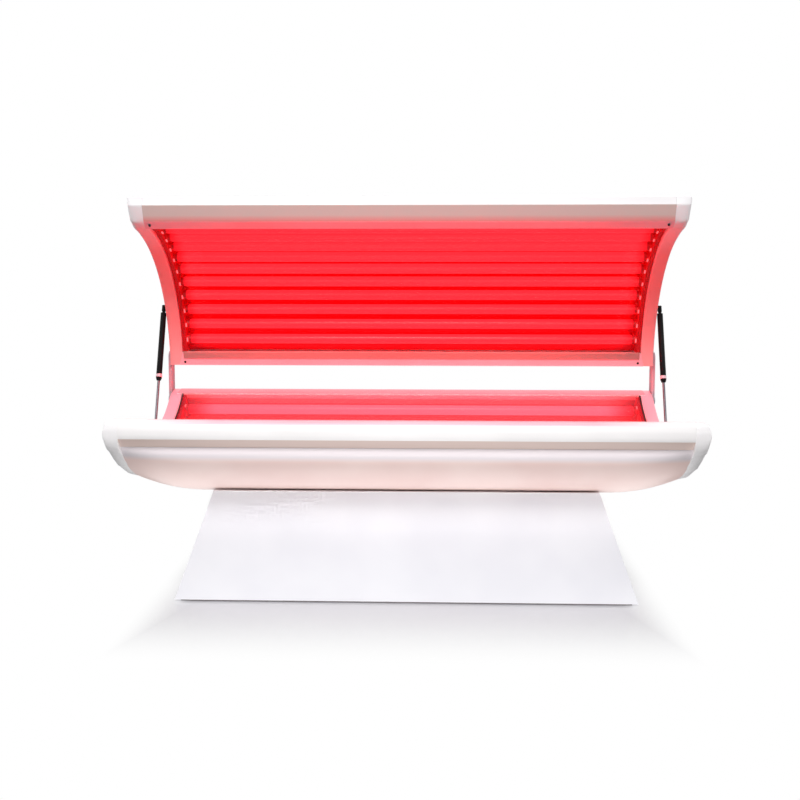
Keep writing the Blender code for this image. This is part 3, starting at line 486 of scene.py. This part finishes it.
# In the bed the nylon is a mid red, lit by the lamps of both halves.
BED_NYLON = holder_nylon("lit_lampholder_nylon", "C4303C", "BC2834")
# The canopy's strips lie deep, and are painted a dark red for the lamps' glow and the shade there.
STRIP_NYLON = {"bed": BED_NYLON, "canopy": holder_nylon("lampholder_nylon_painted_dark_glow", "A80A16", "B80E1A")}
# Its blocks stand forward and are painted a brighter red for the lamps' glow on them, with more gloss.
BLOCK_NYLON = {"bed": BED_NYLON,
               "canopy": holder_nylon("lampholder_nylon_painted_red_glow", "D01822", "DA222C", roughness=0.42)}
# The clips are clear polycarbonate with a painted glow for the lamp ends' light on them, so they stand out
# pale.
CLIP_PLASTIC = finish("clear_polycarbonate_painted_glow", ("F4A9AF", "F6B5BA"), roughness=0.35, grain=1,
                      relief=0.05, Emission_Color=linear("FF7A82"), Emission_Strength=0.8)


def holder_end(half):
    """Distance from the middle of the bed to the outer ends of a half's lampholders."""
    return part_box(f"{half}_lampholder_strip_right")[1].x


def socket_block(shape, place, inward):
    """Add a block with a rounded crown and a clip, put in place by a matrix; inward is the clip's way."""
    block = bmesh.ops.create_cube(shape, size=1.0)["verts"]
    bmesh.ops.scale(shape, verts=block, vec=(SOCKET_LENGTH, SOCKET_WIDTH, SOCKET_FRONT + SOCKET_BACK))
    bmesh.ops.translate(shape, verts=block, vec=(0, 0, (SOCKET_FRONT - SOCKET_BACK) / 2))
    crown = [e for e in {e for v in block for e in v.link_edges} if all(v.co.z > 0 for v in e.verts)
             and abs(e.verts[0].co.x - e.verts[1].co.x) > SOCKET_LENGTH / 2]
    arcs = bmesh.ops.bevel(shape, geom=crown, offset=SOCKET_ROUND, offset_type="OFFSET", affect="EDGES",
                           segments=SOCKET_STEPS, profile=0.5, material=-1, clamp_overlap=True)["verts"]
    block = list({v for v in block if v.is_valid} | set(arcs))
    clip = bmesh.ops.create_cube(shape, size=1.0)["verts"]
    bmesh.ops.scale(shape, verts=clip, vec=CLIP_SIZE)
    clip_rise = SOCKET_FRONT + CLIP_SIZE[2] / 2 - CLIP_SINK
    bmesh.ops.translate(shape, verts=clip, vec=(inward * CLIP_IN, 0, clip_rise))
    for face in {f for v in clip for f in v.link_faces}:
        face.material_index = 1
    bmesh.ops.transform(shape, matrix=place, verts=block + clip)


for half in HALVES:
    for side, sign in (("left", -1), ("right", 1)):
        strip = f"{half}_lampholder_strip_{side}"
        piece(f"{half}_lampholder_{side}_base", flat_faced(strip), [STRIP_NYLON[half]], half, "lampholder",
              strip)
        blocks = bmesh.new()
        for axis in lamp_axes(half).values():
            towards = (lamp_circle(half)[0] - axis).normalized()
            turn = Matrix.Rotation(math.atan2(-towards.y, towards.z), 4, "X")
            spot = (sign * (holder_end(half) - SOCKET_LENGTH / 2), axis.y, axis.z)
            socket_block(blocks, Matrix.Translation(spot) @ turn, -sign)
        piece(f"{half}_lamp_sockets_{side}", blocks, [BLOCK_NYLON[half], CLIP_PLASTIC], half, "lampholder")


# Lamp tubes: full-length fluorescent tubes of glass, coated inside with red phosphor, with an aluminium cap
# crimped on each end. They are pushed into the sockets, and they are lit.
LAMP_CAP_LENGTH = 0.008
LAMP_CAP_SHARE = 0.97       # of the tube's radius
LAMP_CAP_CENTRE = 0.004     # radius of the flat in the middle of a cap
NECK_LENGTH = 0.0005        # of the groove between cap and glass
NECK_SHARE = 0.93           # of the tube's radius
LAMP_SHOULDER = 0.004       # length over which the glass swells to its full radius
TURN_STEPS = 32
CLOUD_SIZE = 90             # millimetres across, of the unevenness of a tube's light
CLOUD_LEVELS = (0.94, 1.06)
DIM_END = {"bed": 0.13, "canopy": 0.045}    # length at each end over which a tube is darker
GLOW_SHADE = {"bed": "FF303C", "canopy": "FF1820"}
GLOW_STRENGTH = {"bed": 6.0, "canopy": 3.4}


def lamp_glass(half, half_glass):
    """Phosphor-coated glass, an even saturated red that is darker towards the ends, as such tubes are."""
    material = bpy.data.materials.new("red_phosphor_lamp_glass")
    material.use_nodes = True
    tree = material.node_tree
    shader = tree.nodes["Principled BSDF"]
    place = add(tree, "TexCoord").outputs["Object"]
    along = add(tree, "SeparateXYZ", {"Vector": place}).outputs["X"]
    reach = add(tree, "Math", {0: along}, operation="ABSOLUTE").outputs[0]
    lit = add(tree, "MapRange", {"Value": reach, "From Min": half_glass,
                                 "From Max": half_glass - DIM_END[half]}, interpolation_type="SMOOTHSTEP")
    cloud = add(tree, "TexNoise", {"Vector": place, "Scale": PER_METRE / CLOUD_SIZE, "Detail": 2.0})
    uneven = add(tree, "MapRange", {"Value": cloud.outputs["Fac"], "To Min": CLOUD_LEVELS[0],
                                    "To Max": CLOUD_LEVELS[1]})
    level = add(tree, "Math", {0: lit.outputs["Result"], 1: uneven.outputs["Result"]}, operation="MULTIPLY")
    tint = add(tree, "ValToRGB", {"Fac": level.outputs[0]})
    tint.color_ramp.elements[0].color = linear("7A0810")
    tint.color_ramp.elements[1].color = linear(GLOW_SHADE[half])
    tree.links.new(tint.outputs["Color"], shader.inputs["Emission Color"])
    shader.inputs["Emission Strength"].default_value = GLOW_STRENGTH[half]
    shader.inputs["Base Color"].default_value = linear("A01420")
    shader.inputs["Roughness"].default_value = 0.30
    shader.inputs["IOR"].default_value = 1.5
    return material


def lathe(spots, centre, axis, closed=False):
    """A line of points, or a closed outline, turned once round an axis."""
    shape = bmesh.new()
    line = [shape.verts.new(spot) for spot in spots]
    for start, end in zip(line, line[1:] + line[:1] if closed else line[1:]):
        shape.edges.new((start, end))
    bmesh.ops.spin(shape, geom=shape.verts[:] + shape.edges[:], cent=centre, axis=axis, dvec=(0, 0, 0),
                   angle=2 * math.pi, steps=TURN_STEPS, use_merge=True, use_duplicate=False)
    bmesh.ops.holes_fill(shape, edges=shape.edges, sides=TURN_STEPS)
    bmesh.ops.recalc_face_normals(shape, faces=shape.faces)
    return shape


def lamp_tube(axis, radius, half_length, half_glass):
    """A tube turned about its axis; its caps take the second material."""
    ends = [(half_length, LAMP_CAP_CENTRE), (half_length, radius * LAMP_CAP_SHARE),
            (half_glass, radius * LAMP_CAP_SHARE), (half_glass - NECK_LENGTH, radius * NECK_SHARE),
            (half_glass - LAMP_SHOULDER, radius)]
    outline = ends + [(-x, r) for x, r in ends[::-1]]
    shape = lathe([(x, axis.y + r, axis.z) for x, r in outline], axis, (1, 0, 0))
    for face in shape.faces:
        face.material_index = int(abs(face.calc_center_median().x) > half_glass - LAMP_SHOULDER / 4)
    return shape


# Beside the glowing glass the aluminium of the caps is a dull dark red.
LAMP_CAP = finish("red_lit_cap_aluminium", ("B41420", "C01A26"), roughness=0.4, grain=1, relief=0.03)
for half in HALVES:
    half_length = holder_end(half) - SOCKET_LENGTH
    half_glass = half_length - LAMP_CAP_LENGTH
    glass = lamp_glass(half, half_glass)
    lamp_low, lamp_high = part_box(f"{half}_lamp_01")
    for lamp, axis in lamp_axes(half).items():
        tube = lamp_tube(axis, (lamp_high.z - lamp_low.z) / 2, half_length, half_glass)
        piece(f"{lamp}_tube", tube, [glass, LAMP_CAP], half, "red_lamp", lamp)


# Acrylic: a clear cast sheet over the lamps of each half, bent warm to their curve. Its long edges lie in the
# flanges of the rails.
ACRYLIC_DEEPER = (0.76, 0.89)   # distances from the middle over which a painted shade turns the bed's sheet deeper red
# The canopy's sheet is almost clear, with a faint red film and a high gloss.
CANOPY_ACRYLIC = finish("clear_cast_acrylic", ("D81E30", "CC1828"), roughness=0.06, grain=20, relief=0.02,
                        stretch=(0.1, 1, 1), sheen=0.02, IOR=1.49, Alpha=0.06)
# The bed's is dulled by wiping, and its rose tone is the lamps' scattered light, painted on.
BED_ACRYLIC = finish("cast_acrylic_painted_rose_glow", ("F97A86", "F46F7C"), roughness=0.16, grain=30, relief=0.04,
                     stretch=(0.1, 1, 1), IOR=1.49, Alpha=0.26)
turn_colour(BED_ACRYLIC, "X", *ACRYLIC_DEEPER, "C01C2E")
for half, clear in (("bed", BED_ACRYLIC), ("canopy", CANOPY_ACRYLIC)):
    acrylic = f"{half}_acrylic"
    piece(f"{acrylic}_sheet", flat_faced(acrylic), [clear], half, "clear_acrylic", acrylic)


# Gaskets: a round cord of black rubber along each end of the bed's acrylic. It is cut from a coil and pressed
# into the corner between sheet and end cap, where it keeps dust and cleaner out.
CORD_RADIUS = 0.0026
CORD_SIDES = 10
CORD_STEPS = 40
ARC_BAND = 0.0008           # points this near a curved node's inner face belong to it
# Rubber is nearly black and very dull.
RUBBER = finish("black_moulded_rubber", ("1A1A1C", "222225"), roughness=0.75, grain=1, relief=0.1)


def inner_arc(node, middle):
    """The radius of a curved CAD node's inner face, and its front and rear ends."""
    spots = [in_section(v.co) for v in nodes[node].data.vertices]
    radius = min((spot - middle).length for spot in spots)
    arc = [spot for spot in spots if (spot - middle).length < radius + ARC_BAND]
    arc.sort(key=lambda spot: spot.y)
    return radius, arc[0], arc[-1]


def turn_between(first, last, middle):
    """Angle about X from one point to another round a middle."""
    a, b = first - middle, last - middle
    return math.atan2(a.y * b.z - a.z * b.y, a.dot(b))


bed_middle = lamp_circle("bed")[0]
cord_front, cord_rear = inner_arc("bed_acrylic", bed_middle)[1:]
cord_out = (cord_front - bed_middle).normalized()
cord_lean = Matrix(((1, 0, 0), (0, cord_out.y, -cord_out.z), (0, cord_out.z, cord_out.y))).to_4x4()
cap_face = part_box("bed_end_cap_right")[0].x
for side, sign in (("left", -1), ("right", 1)):
    start = cord_front - cord_out * CORD_RADIUS
    start.x = sign * (cap_face - CORD_RADIUS)
    cord = bmesh.new()
    bmesh.ops.create_circle(cord, segments=CORD_SIDES, radius=CORD_RADIUS,
                            matrix=Matrix.Translation(start) @ cord_lean)
    bmesh.ops.spin(cord, geom=cord.verts[:] + cord.edges[:], cent=bed_middle, axis=(1, 0, 0), dvec=(0, 0, 0),
                   angle=turn_between(cord_front, cord_rear, bed_middle), steps=CORD_STEPS,
                   use_duplicate=False)
    bmesh.ops.holes_fill(cord, edges=cord.edges, sides=CORD_SIDES)
    bmesh.ops.recalc_face_normals(cord, faces=cord.faces)
    piece(f"bed_gasket_{side}", cord, [RUBBER], "bed", "black_rubber")


# Canopy shell and rails: the shell is formed from a sheet of white ABS, and the lip and the rear rail are
# aluminium extrusions that hold its edges and those of the acrylic.
CANOPY_SEAM = 0.9078        # middle of the canopy to the seam between its rails and its end cap
LIP_ROUND = 0.0012
REAR_ROUND = 0.0025
LIP_WARMER = (1.296, 1.276)  # heights between which the lip's face takes the lamps' glow
LIP_FRONT = -0.93           # how far forwards the lip's face looks
LIP_UNDER = -0.4            # how far down its underside looks
REAR_FRONT = -0.3           # how far forwards the rear rail's lit faces look
# Formed ABS of the canopy is the bed's white, painted a shade greyer so that its lit top keeps its edges.
CANOPY_ABS = moulded_abs("white_formed_abs", "EDEAEC", "E8E5E7")
shell = flat_faced("canopy_shell")
lengthen(shell, CANOPY_SEAM - SEAM_GAP)
ease(shell, CUT_EASE, low=60, segments=2)
piece("canopy_shell_skin", shell, [CANOPY_ABS], "canopy", "white_plastic", "canopy_shell")
# The lip's top is the rails' white coat, painted a shade greyer so that its lit top keeps its edges.
LIP_POWDER = powder_coat("white_powder_coat_painted_greyer", "ECE8EA", "E7E3E5")
# Its face is a warm grey satin with drawn lines, also painted darker than the coat above and below as shade.
SATIN = finish("warm_grey_satin_aluminium", ("D4C2BD", "CDB9B3"), roughness=0.42, grain=2, relief=0.03,
               stretch=(0.03, 1, 1))
turn_colour(SATIN, "Z", *LIP_WARMER, "E08B88")
# White coat beside the lamps is painted rose for their light.
ROSE_LIT_POWDER = powder_coat("powder_coat_painted_rose_glow", "FABAC4", "F5B2BC")
lip = extrusion("canopy_lip_rail", CANOPY_SEAM - SEAM_GAP, LIP_ROUND)
for face in lip.faces:
    if face.normal.y < LIP_FRONT:
        face.material_index = 1
    elif face.normal.z < LIP_UNDER:
        face.material_index = 2
piece("canopy_lip_rail_extrusion", lip, [LIP_POWDER, SATIN, ROSE_LIT_POWDER], "canopy", "white_rail",
      "canopy_lip_rail", crisp=RAIL_HARD_TURN)
rear = extrusion("canopy_rear_rail", CANOPY_SEAM - SEAM_GAP, REAR_ROUND)
for face in rear.faces:
    face.material_index = int(face.normal.y < REAR_FRONT)
piece("canopy_rear_rail_extrusion", rear, [POWDER, ROSE_LIT_POWDER], "canopy", "white_rail", "canopy_rear_rail",
      crisp=RAIL_HARD_TURN)


# End caps of the canopy: white ABS mouldings, deep enough to cover the ends of the shell and the lamp bank.
# They are screwed on from inside, like those of the bed.
CAP_PALER = (1.16, 1.27)    # heights over which the lit edges turn paler towards the lip, a painted highlight
BESIDE_LAMPS = (-0.02, 1.02)   # shares of the acrylic's sweep that count as beside the lamps
# Beside the lamps the plastic takes a coral tone from their light.
LIT_ABS = moulded_abs("rose_lit_abs", "F5B2B2", "F1A8A8")
turn_colour(LIT_ABS, "Z", *CAP_PALER, "F8DCE2")
canopy_middle = lamp_circle("canopy")[0]
sheet_radius, sheet_front, sheet_rear = inner_arc("canopy_acrylic", canopy_middle)
sheet_sweep = turn_between(sheet_front, sheet_rear, canopy_middle)


def beside_canopy_rails(vert):
    """Whether a point of the cap's inner face is beside a rail or the shell, and not beside the lamps."""
    spot = in_section(vert.co)
    share = turn_between(sheet_front, spot, canopy_middle) / sheet_sweep
    return not (BESIDE_LAMPS[0] < share < BESIDE_LAMPS[1] and (spot - canopy_middle).length < sheet_radius)


for side in ("left", "right"):
    cap = f"canopy_end_cap_{side}"
    moulding = end_cap(cap, CANOPY_SEAM, beside_canopy_rails)
    subdivide(piece(f"{cap}_moulding", moulding, [CANOPY_ABS, LIT_ABS], "canopy", "white_plastic", cap))


# Retainer: a strip of smoky clear PVC over the joint between the canopy's acrylic and its rear rail, held by
# a dark screw in the rail near each end.
RETAINER_LAP = 0.005        # on the acrylic
RETAINER_SHARE = 0.46       # of the rail's width
RETAINER_THICKNESS = 0.0015
RETAINER_GAP = 0.0004
RETAINER_STEPS = 4
RAIL_SCREW_SHARE = 0.76     # of the rail's width
RAIL_SCREW_X = 0.885
RAIL_SCREW_RADIUS = 0.0050
# Smoky PVC dulls the red behind it to a brownish pink.
SMOKY = finish("smoky_clear_pvc", ("B98F8A", "C29A94"), roughness=0.20, grain=10, relief=0.03,
               stretch=(0.1, 1, 1), IOR=1.5, Alpha=0.55)
rail_radius, *rail_ends = inner_arc("canopy_rear_rail", canopy_middle)
rail_far = max(rail_ends, key=lambda spot: (spot - sheet_rear).length)
rail_turn = turn_between(sheet_rear, rail_far, canopy_middle)
strip_radius = min(sheet_radius, rail_radius) - RETAINER_THICKNESS - RETAINER_GAP
strip_lap = math.copysign(RETAINER_LAP / strip_radius, rail_turn)
sheet_way = (sheet_rear - canopy_middle).normalized()
strip_edge = canopy_middle + Matrix.Rotation(-strip_lap, 3, "X") @ sheet_way * strip_radius
strip_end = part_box("canopy_acrylic")[1].x - RETAINER_LAP
retainer = bmesh.new()
retainer.edges.new([retainer.verts.new((x, strip_edge.y, strip_edge.z)) for x in (-strip_end, strip_end)])
bmesh.ops.spin(retainer, geom=retainer.verts[:] + retainer.edges[:], cent=canopy_middle, axis=(1, 0, 0),
               dvec=(0, 0, 0), angle=strip_lap + rail_turn * RETAINER_SHARE, steps=RETAINER_STEPS,
               use_duplicate=False)
bmesh.ops.recalc_face_normals(retainer, faces=retainer.faces)
bmesh.ops.solidify(retainer, geom=retainer.faces[:], thickness=RETAINER_THICKNESS)
bmesh.ops.recalc_face_normals(retainer, faces=retainer.faces)
piece("canopy_acrylic_retainer", retainer, [SMOKY], "canopy", "clear_acrylic")
screw_way = -(Matrix.Rotation(rail_turn * RAIL_SCREW_SHARE, 3, "X") @ sheet_way)
for side, sign in (("left", -1), ("right", 1)):
    screw = bmesh.new()
    spot = canopy_middle - screw_way * rail_radius
    spot.x = sign * RAIL_SCREW_X
    screw_head(screw, spot, screw_way, RAIL_SCREW_RADIUS, SCREW_HEIGHT)
    piece(f"canopy_rear_rail_screw_{side}", screw, [BLACKENED], "canopy", "steel")


# Bumpers: small buttons of black moulded rubber near the ends of the lip. Their stems are pressed into holes
# in the extrusion, and they land on the bed's front rail when the canopy is shut.
BUMPER_EASE = 0.0006
for side in ("left", "right"):
    bumper = from_node(f"lip_bumper_{side}")
    ease(bumper, BUMPER_EASE, low=35, segments=2)
    piece(f"lip_bumper_{side}_button", bumper, [RUBBER], "canopy", "black_rubber", f"lip_bumper_{side}")


# Hinges: flat arms of steel plate, painted white, bolted to the canopy's end caps, and zinc-plated pins on
# the bed that they turn on.
ARM_EASE = 0.0015
ARM_FRONT = -0.3            # how far forwards the arm's lit edges look
ARM_INNER = -0.5            # how far inwards its lit side looks
HINGE_PIN_EASE = 0.001
BOLT_RADIUS = 0.0075
BOLT_HEIGHT = 0.0042
BOLT_IN = 0.022             # from the arm's upper end and rear edge
BOLT_STEP = 0.026
# Paint on steel is a slightly grey white with a soft gloss.
PAINTED_STEEL = finish("white_painted_steel", ("F1EDEE", "EAE6E7"), roughness=0.35, grain=2, relief=0.05)
# Its faces towards the lamps take a dull rose from them.
ROSE_PAINT = finish("rose_lit_painted_steel", ("D1AAB4", "CBA3AD"), roughness=0.38, grain=2, relief=0.05)
for side, sign in (("left", -1), ("right", 1)):
    arm = f"hinge_arm_{side}"
    arm_plate = flat_faced(arm)
    ease(arm_plate, ARM_EASE, low=50)
    arm_plate.normal_update()
    for face in arm_plate.faces:
        face.material_index = int(face.normal.y < ARM_FRONT or face.normal.x * sign < ARM_INNER)
    piece(f"{arm}_plate", arm_plate, [PAINTED_STEEL, ROSE_PAINT], "canopy", "white_paint", arm)
    arm_low, arm_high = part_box(arm)
    bolts = bmesh.new()
    for drop in (BOLT_IN, BOLT_IN + BOLT_STEP):
        spot = Vector((sign * max(abs(arm_low.x), abs(arm_high.x)), arm_high.y - BOLT_IN, arm_high.z - drop))
        screw_head(bolts, spot, Vector((sign, 0, 0)), BOLT_RADIUS, BOLT_HEIGHT)
    piece(f"{arm}_bolts", bolts, [ZINC], "canopy", "steel")
    hinge_pin = from_node(f"hinge_pin_{side}")
    ease(hinge_pin, HINGE_PIN_EASE, low=50, segments=2)
    piece(f"hinge_pin_{side}_turned", hinge_pin, [ZINC], "bed", "steel", f"hinge_pin_{side}")


# Gas struts: a black painted pressure tube with a chromed rod, each with a socket that snaps over a
# zinc-plated ball stud. A pale guide collar is snapped round the lower end of the tube.
STRUT_EASE = 0.0008
COLLAR_UP = 0.012           # above the tube's lower end
COLLAR_LENGTH = 0.012
COLLAR_WALL = 0.0008
# Stoved paint is a deep black with hardly any shine.
BLACK_PAINT = finish("black_stoved_paint", ("09090A", "0E0E10"), roughness=0.60, grain=1.5, relief=0.04,
                     Specular_IOR_Level=0.10)
# Hard chrome on the rod is painted a dark, shiny grey for its dark reflections, with fine grinding lines
# round it.
CHROME = finish("hard_chromed_steel", ("5E5A60", "6A666C"), roughness=0.30, grain=1, relief=0.01,
                stretch=(0.05, 1, 1), Metallic=1.0)
# Acetal is a smooth plastic, here pale with a tinge of the lamps' rose.
ACETAL = finish("pale_acetal", ("DDBCC4", "D5B2BA"), roughness=0.4, grain=1, relief=0.05)
joints = {joint["name"]: joint for joint in frame["joints"]}
for side in ("left", "right"):
    for item, coat, body, slot in (("strut_cylinder", BLACK_PAINT, f"strut_cylinder_{side}", "black_paint"),
                                   ("strut_rod", CHROME, f"strut_rod_{side}", "chrome"),
                                   ("strut_upper_stud", ZINC, "canopy", "steel"),
                                   ("strut_lower_stud", ZINC, "bed", "steel")):
        turned = from_node(f"{item}_{side}")
        ease(turned, STRUT_EASE, low=50, segments=2)
        piece(f"{item}_{side}_turned", turned, [coat], body, slot, f"{item}_{side}")
    pivot = Vector(joints[f"strut_pivot_{side}"]["pos_m"])
    axis = Vector(joints[f"strut_slide_{side}"]["axis"]).normalized()
    spots = [v.co - pivot for v in nodes[f"strut_cylinder_{side}"].data.vertices]
    radius = max((spot - axis * spot.dot(axis)).length for spot in spots)
    low = min(spot.dot(axis) for spot in spots) + COLLAR_UP
    high = low + COLLAR_LENGTH
    outline = ((low, radius - COLLAR_WALL), (low, radius), (low + COLLAR_WALL, radius + COLLAR_WALL),
               (high - COLLAR_WALL, radius + COLLAR_WALL), (high, radius), (high, radius - COLLAR_WALL))
    ring = [pivot + axis * along + Vector((out, 0, 0)) for along, out in outline]
    collar = lathe(ring, pivot, axis, closed=True)
    piece(f"strut_collar_{side}", collar, [ACETAL], f"strut_cylinder_{side}", "white_plastic")


# Floor: a plain white vinyl sheet that runs out past the view, smooth enough to mirror the pedestal faintly.
# It lights the underside of the bed like a light table, strongest near the bed.
FLOOR_SIZE = 60.0
FLOOR_BESIDE = (0.70, 0.88)  # metres along the bed over which its painted shade turns to plain white
FLOOR_BEFORE = (0.30, 0.85)  # and across the bed
FLOOR_LIT = (1.75, 2.1)     # metres from the middle over which its light on the bed falls off
FLOOR_LEVELS = (1.20, 0.12)  # strength of that light, near and far
FLOOR_SQUEEZE = 1.75        # the lit part is this much shorter along the bed than across it
WHITE = (1, 1, 1, 1)
floor_shape = bmesh.new()
bmesh.ops.create_grid(floor_shape, x_segments=1, y_segments=1, size=FLOOR_SIZE / 2)
floor_mesh = bpy.data.meshes.new("studio_floor")
floor_shape.to_mesh(floor_mesh)
floor_shape.free()
floor = bpy.data.objects.new("studio_floor", floor_mesh)
bpy.context.scene.collection.objects.link(floor)
# Near the pedestal the sheet is a grey painted shade with a faint mirror image; beyond, it is plain white.
VINYL = bpy.data.materials.new("white_vinyl_sheet")
VINYL.use_nodes = True
tree = VINYL.node_tree
sheet = tree.nodes["Principled BSDF"]
sheet.inputs["Base Color"].default_value = linear("C8C8CC")
sheet.inputs["Roughness"].default_value = 0.14
place = add(tree, "TexCoord").outputs["Object"]
parts = add(tree, "SeparateXYZ", {"Vector": place}).outputs
shares = []
for axis, (near, far) in (("X", FLOOR_BESIDE), ("Y", FLOOR_BEFORE)):
    reach = add(tree, "Math", {0: parts[axis]}, operation="ABSOLUTE").outputs[0]
    shares.append(add(tree, "MapRange", {"Value": reach, "From Min": near, "From Max": far},
                      interpolation_type="SMOOTHSTEP").outputs["Result"])
share = add(tree, "Math", {0: shares[0], 1: shares[1]}, operation="MAXIMUM").outputs[0]
plain = add(tree, "Emission", {"Color": WHITE, "Strength": 1.0})
shown = add(tree, "MixShader", {0: share, 1: sheet.outputs[0], 2: plain.outputs[0]})
squeezed = add(tree, "VectorMath", {0: place, 1: (FLOOR_SQUEEZE, 1, 1)}, operation="MULTIPLY").outputs[0]
away = add(tree, "VectorMath", {0: squeezed}, operation="LENGTH").outputs["Value"]
level = add(tree, "MapRange", {"Value": away, "From Min": FLOOR_LIT[0], "From Max": FLOOR_LIT[1],
                               "To Min": FLOOR_LEVELS[0], "To Max": FLOOR_LEVELS[1]},
            interpolation_type="SMOOTHSTEP").outputs[0]
bounce = add(tree, "Emission", {"Color": WHITE, "Strength": level})
seen = add(tree, "LightPath").outputs["Is Camera Ray"]
mixed = add(tree, "MixShader", {0: seen, 1: bounce.outputs[0], 2: shown.outputs[0]})
tree.links.new(mixed.outputs[0], tree.nodes["Material Output"].inputs["Surface"])
floor_mesh.materials.append(VINYL)


# Studio light: a white surround that fills evenly, a broad softbox high in front, whose light the lip keeps
# off the lamps, and weaker ones behind and at the sides. Two gridded strip lights with weak, narrow beams
# lift the front rail's face and the pedestal's upper edge.
SURROUND = 0.20
# Name, place, target, size, power in watts and angle of the beam in degrees
SOFTBOXES = (("softbox_front", (-0.2, -2.84, 3.86), (0.0, -0.2, 0.6), (3.6, 1.2), 168.0, 180),
             ("strip_rail", (0.0, -3.0, 0.75), (0.0, -0.44, 0.60), (2.2, 0.06), 0.20, 10),
             ("strip_pedestal", (0.0, -1.9, 0.05), (0.0, -0.21, 0.385), (2.0, 0.06), 0.36, 10),
             ("softbox_left", (-3.8, 0.3, 1.3), (0.0, 0.1, 0.8), (1.4, 1.4), 9.0, 90),
             ("softbox_right", (3.8, 0.3, 1.3), (0.0, 0.1, 0.8), (1.4, 1.4), 9.0, 90),
             ("softbox_rear", (0.0, 2.6, 4.6), (0.0, 0.2, 0.9), (3.4, 1.2), 28.0, 120))
world = bpy.data.worlds.new("white_surround")
bpy.context.scene.world = world
world.use_nodes = True
tree = world.node_tree
fill = tree.nodes["Background"]
fill.inputs["Color"].default_value = WHITE
fill.inputs["Strength"].default_value = SURROUND
backdrop = add(tree, "Background", {"Color": WHITE, "Strength": 1.0})
rays = add(tree, "LightPath").outputs
direct = rays["Is Camera Ray"]
for kind in ("Is Glossy Ray", "Is Transmission Ray"):
    direct = add(tree, "Math", {0: direct, 1: rays[kind]}, operation="MAXIMUM").outputs[0]
choice = add(tree, "MixShader", {0: direct, 1: fill.outputs[0], 2: backdrop.outputs[0]})
tree.links.new(choice.outputs[0], tree.nodes["World Output"].inputs["Surface"])
for name, spot, target, size, power, beam in SOFTBOXES:
    light = bpy.data.lights.new(name, "AREA")
    light.shape = "RECTANGLE"
    light.size, light.size_y = size
    light.energy = power
    light.spread = math.radians(beam)
    softbox = bpy.data.objects.new(name, light)
    softbox.location = spot
    softbox.rotation_euler = (Vector(target) - Vector(spot)).to_track_quat("-Z", "Y").to_euler()
    bpy.context.scene.collection.objects.link(softbox)


# Camera: stands in front, a little above the open canopy's middle, and looks slightly down. Its place and
# angle were fitted to the photograph, and everything is in focus.
CAMERA_SPOT = (0.0934, -3.60199, 1.1288)
CAMERA_TILT = 0.1328        # radians below level
CAMERA_PAN = 0.0334         # radians to the left
CAMERA_LENS = 45.63         # millimetres, as is the sensor
CAMERA_SENSOR = 36.0
camera_data = bpy.data.cameras.new("front_camera")
camera_data.lens = CAMERA_LENS
camera_data.sensor_width = CAMERA_SENSOR
camera = bpy.data.objects.new("front_camera", camera_data)
camera.location = CAMERA_SPOT
camera.rotation_euler = (math.pi / 2 - CAMERA_TILT, 0, CAMERA_PAN)
bpy.context.scene.collection.objects.link(camera)
bpy.context.scene.camera = camera
bpy.context.scene.view_settings.view_transform = "Standard"
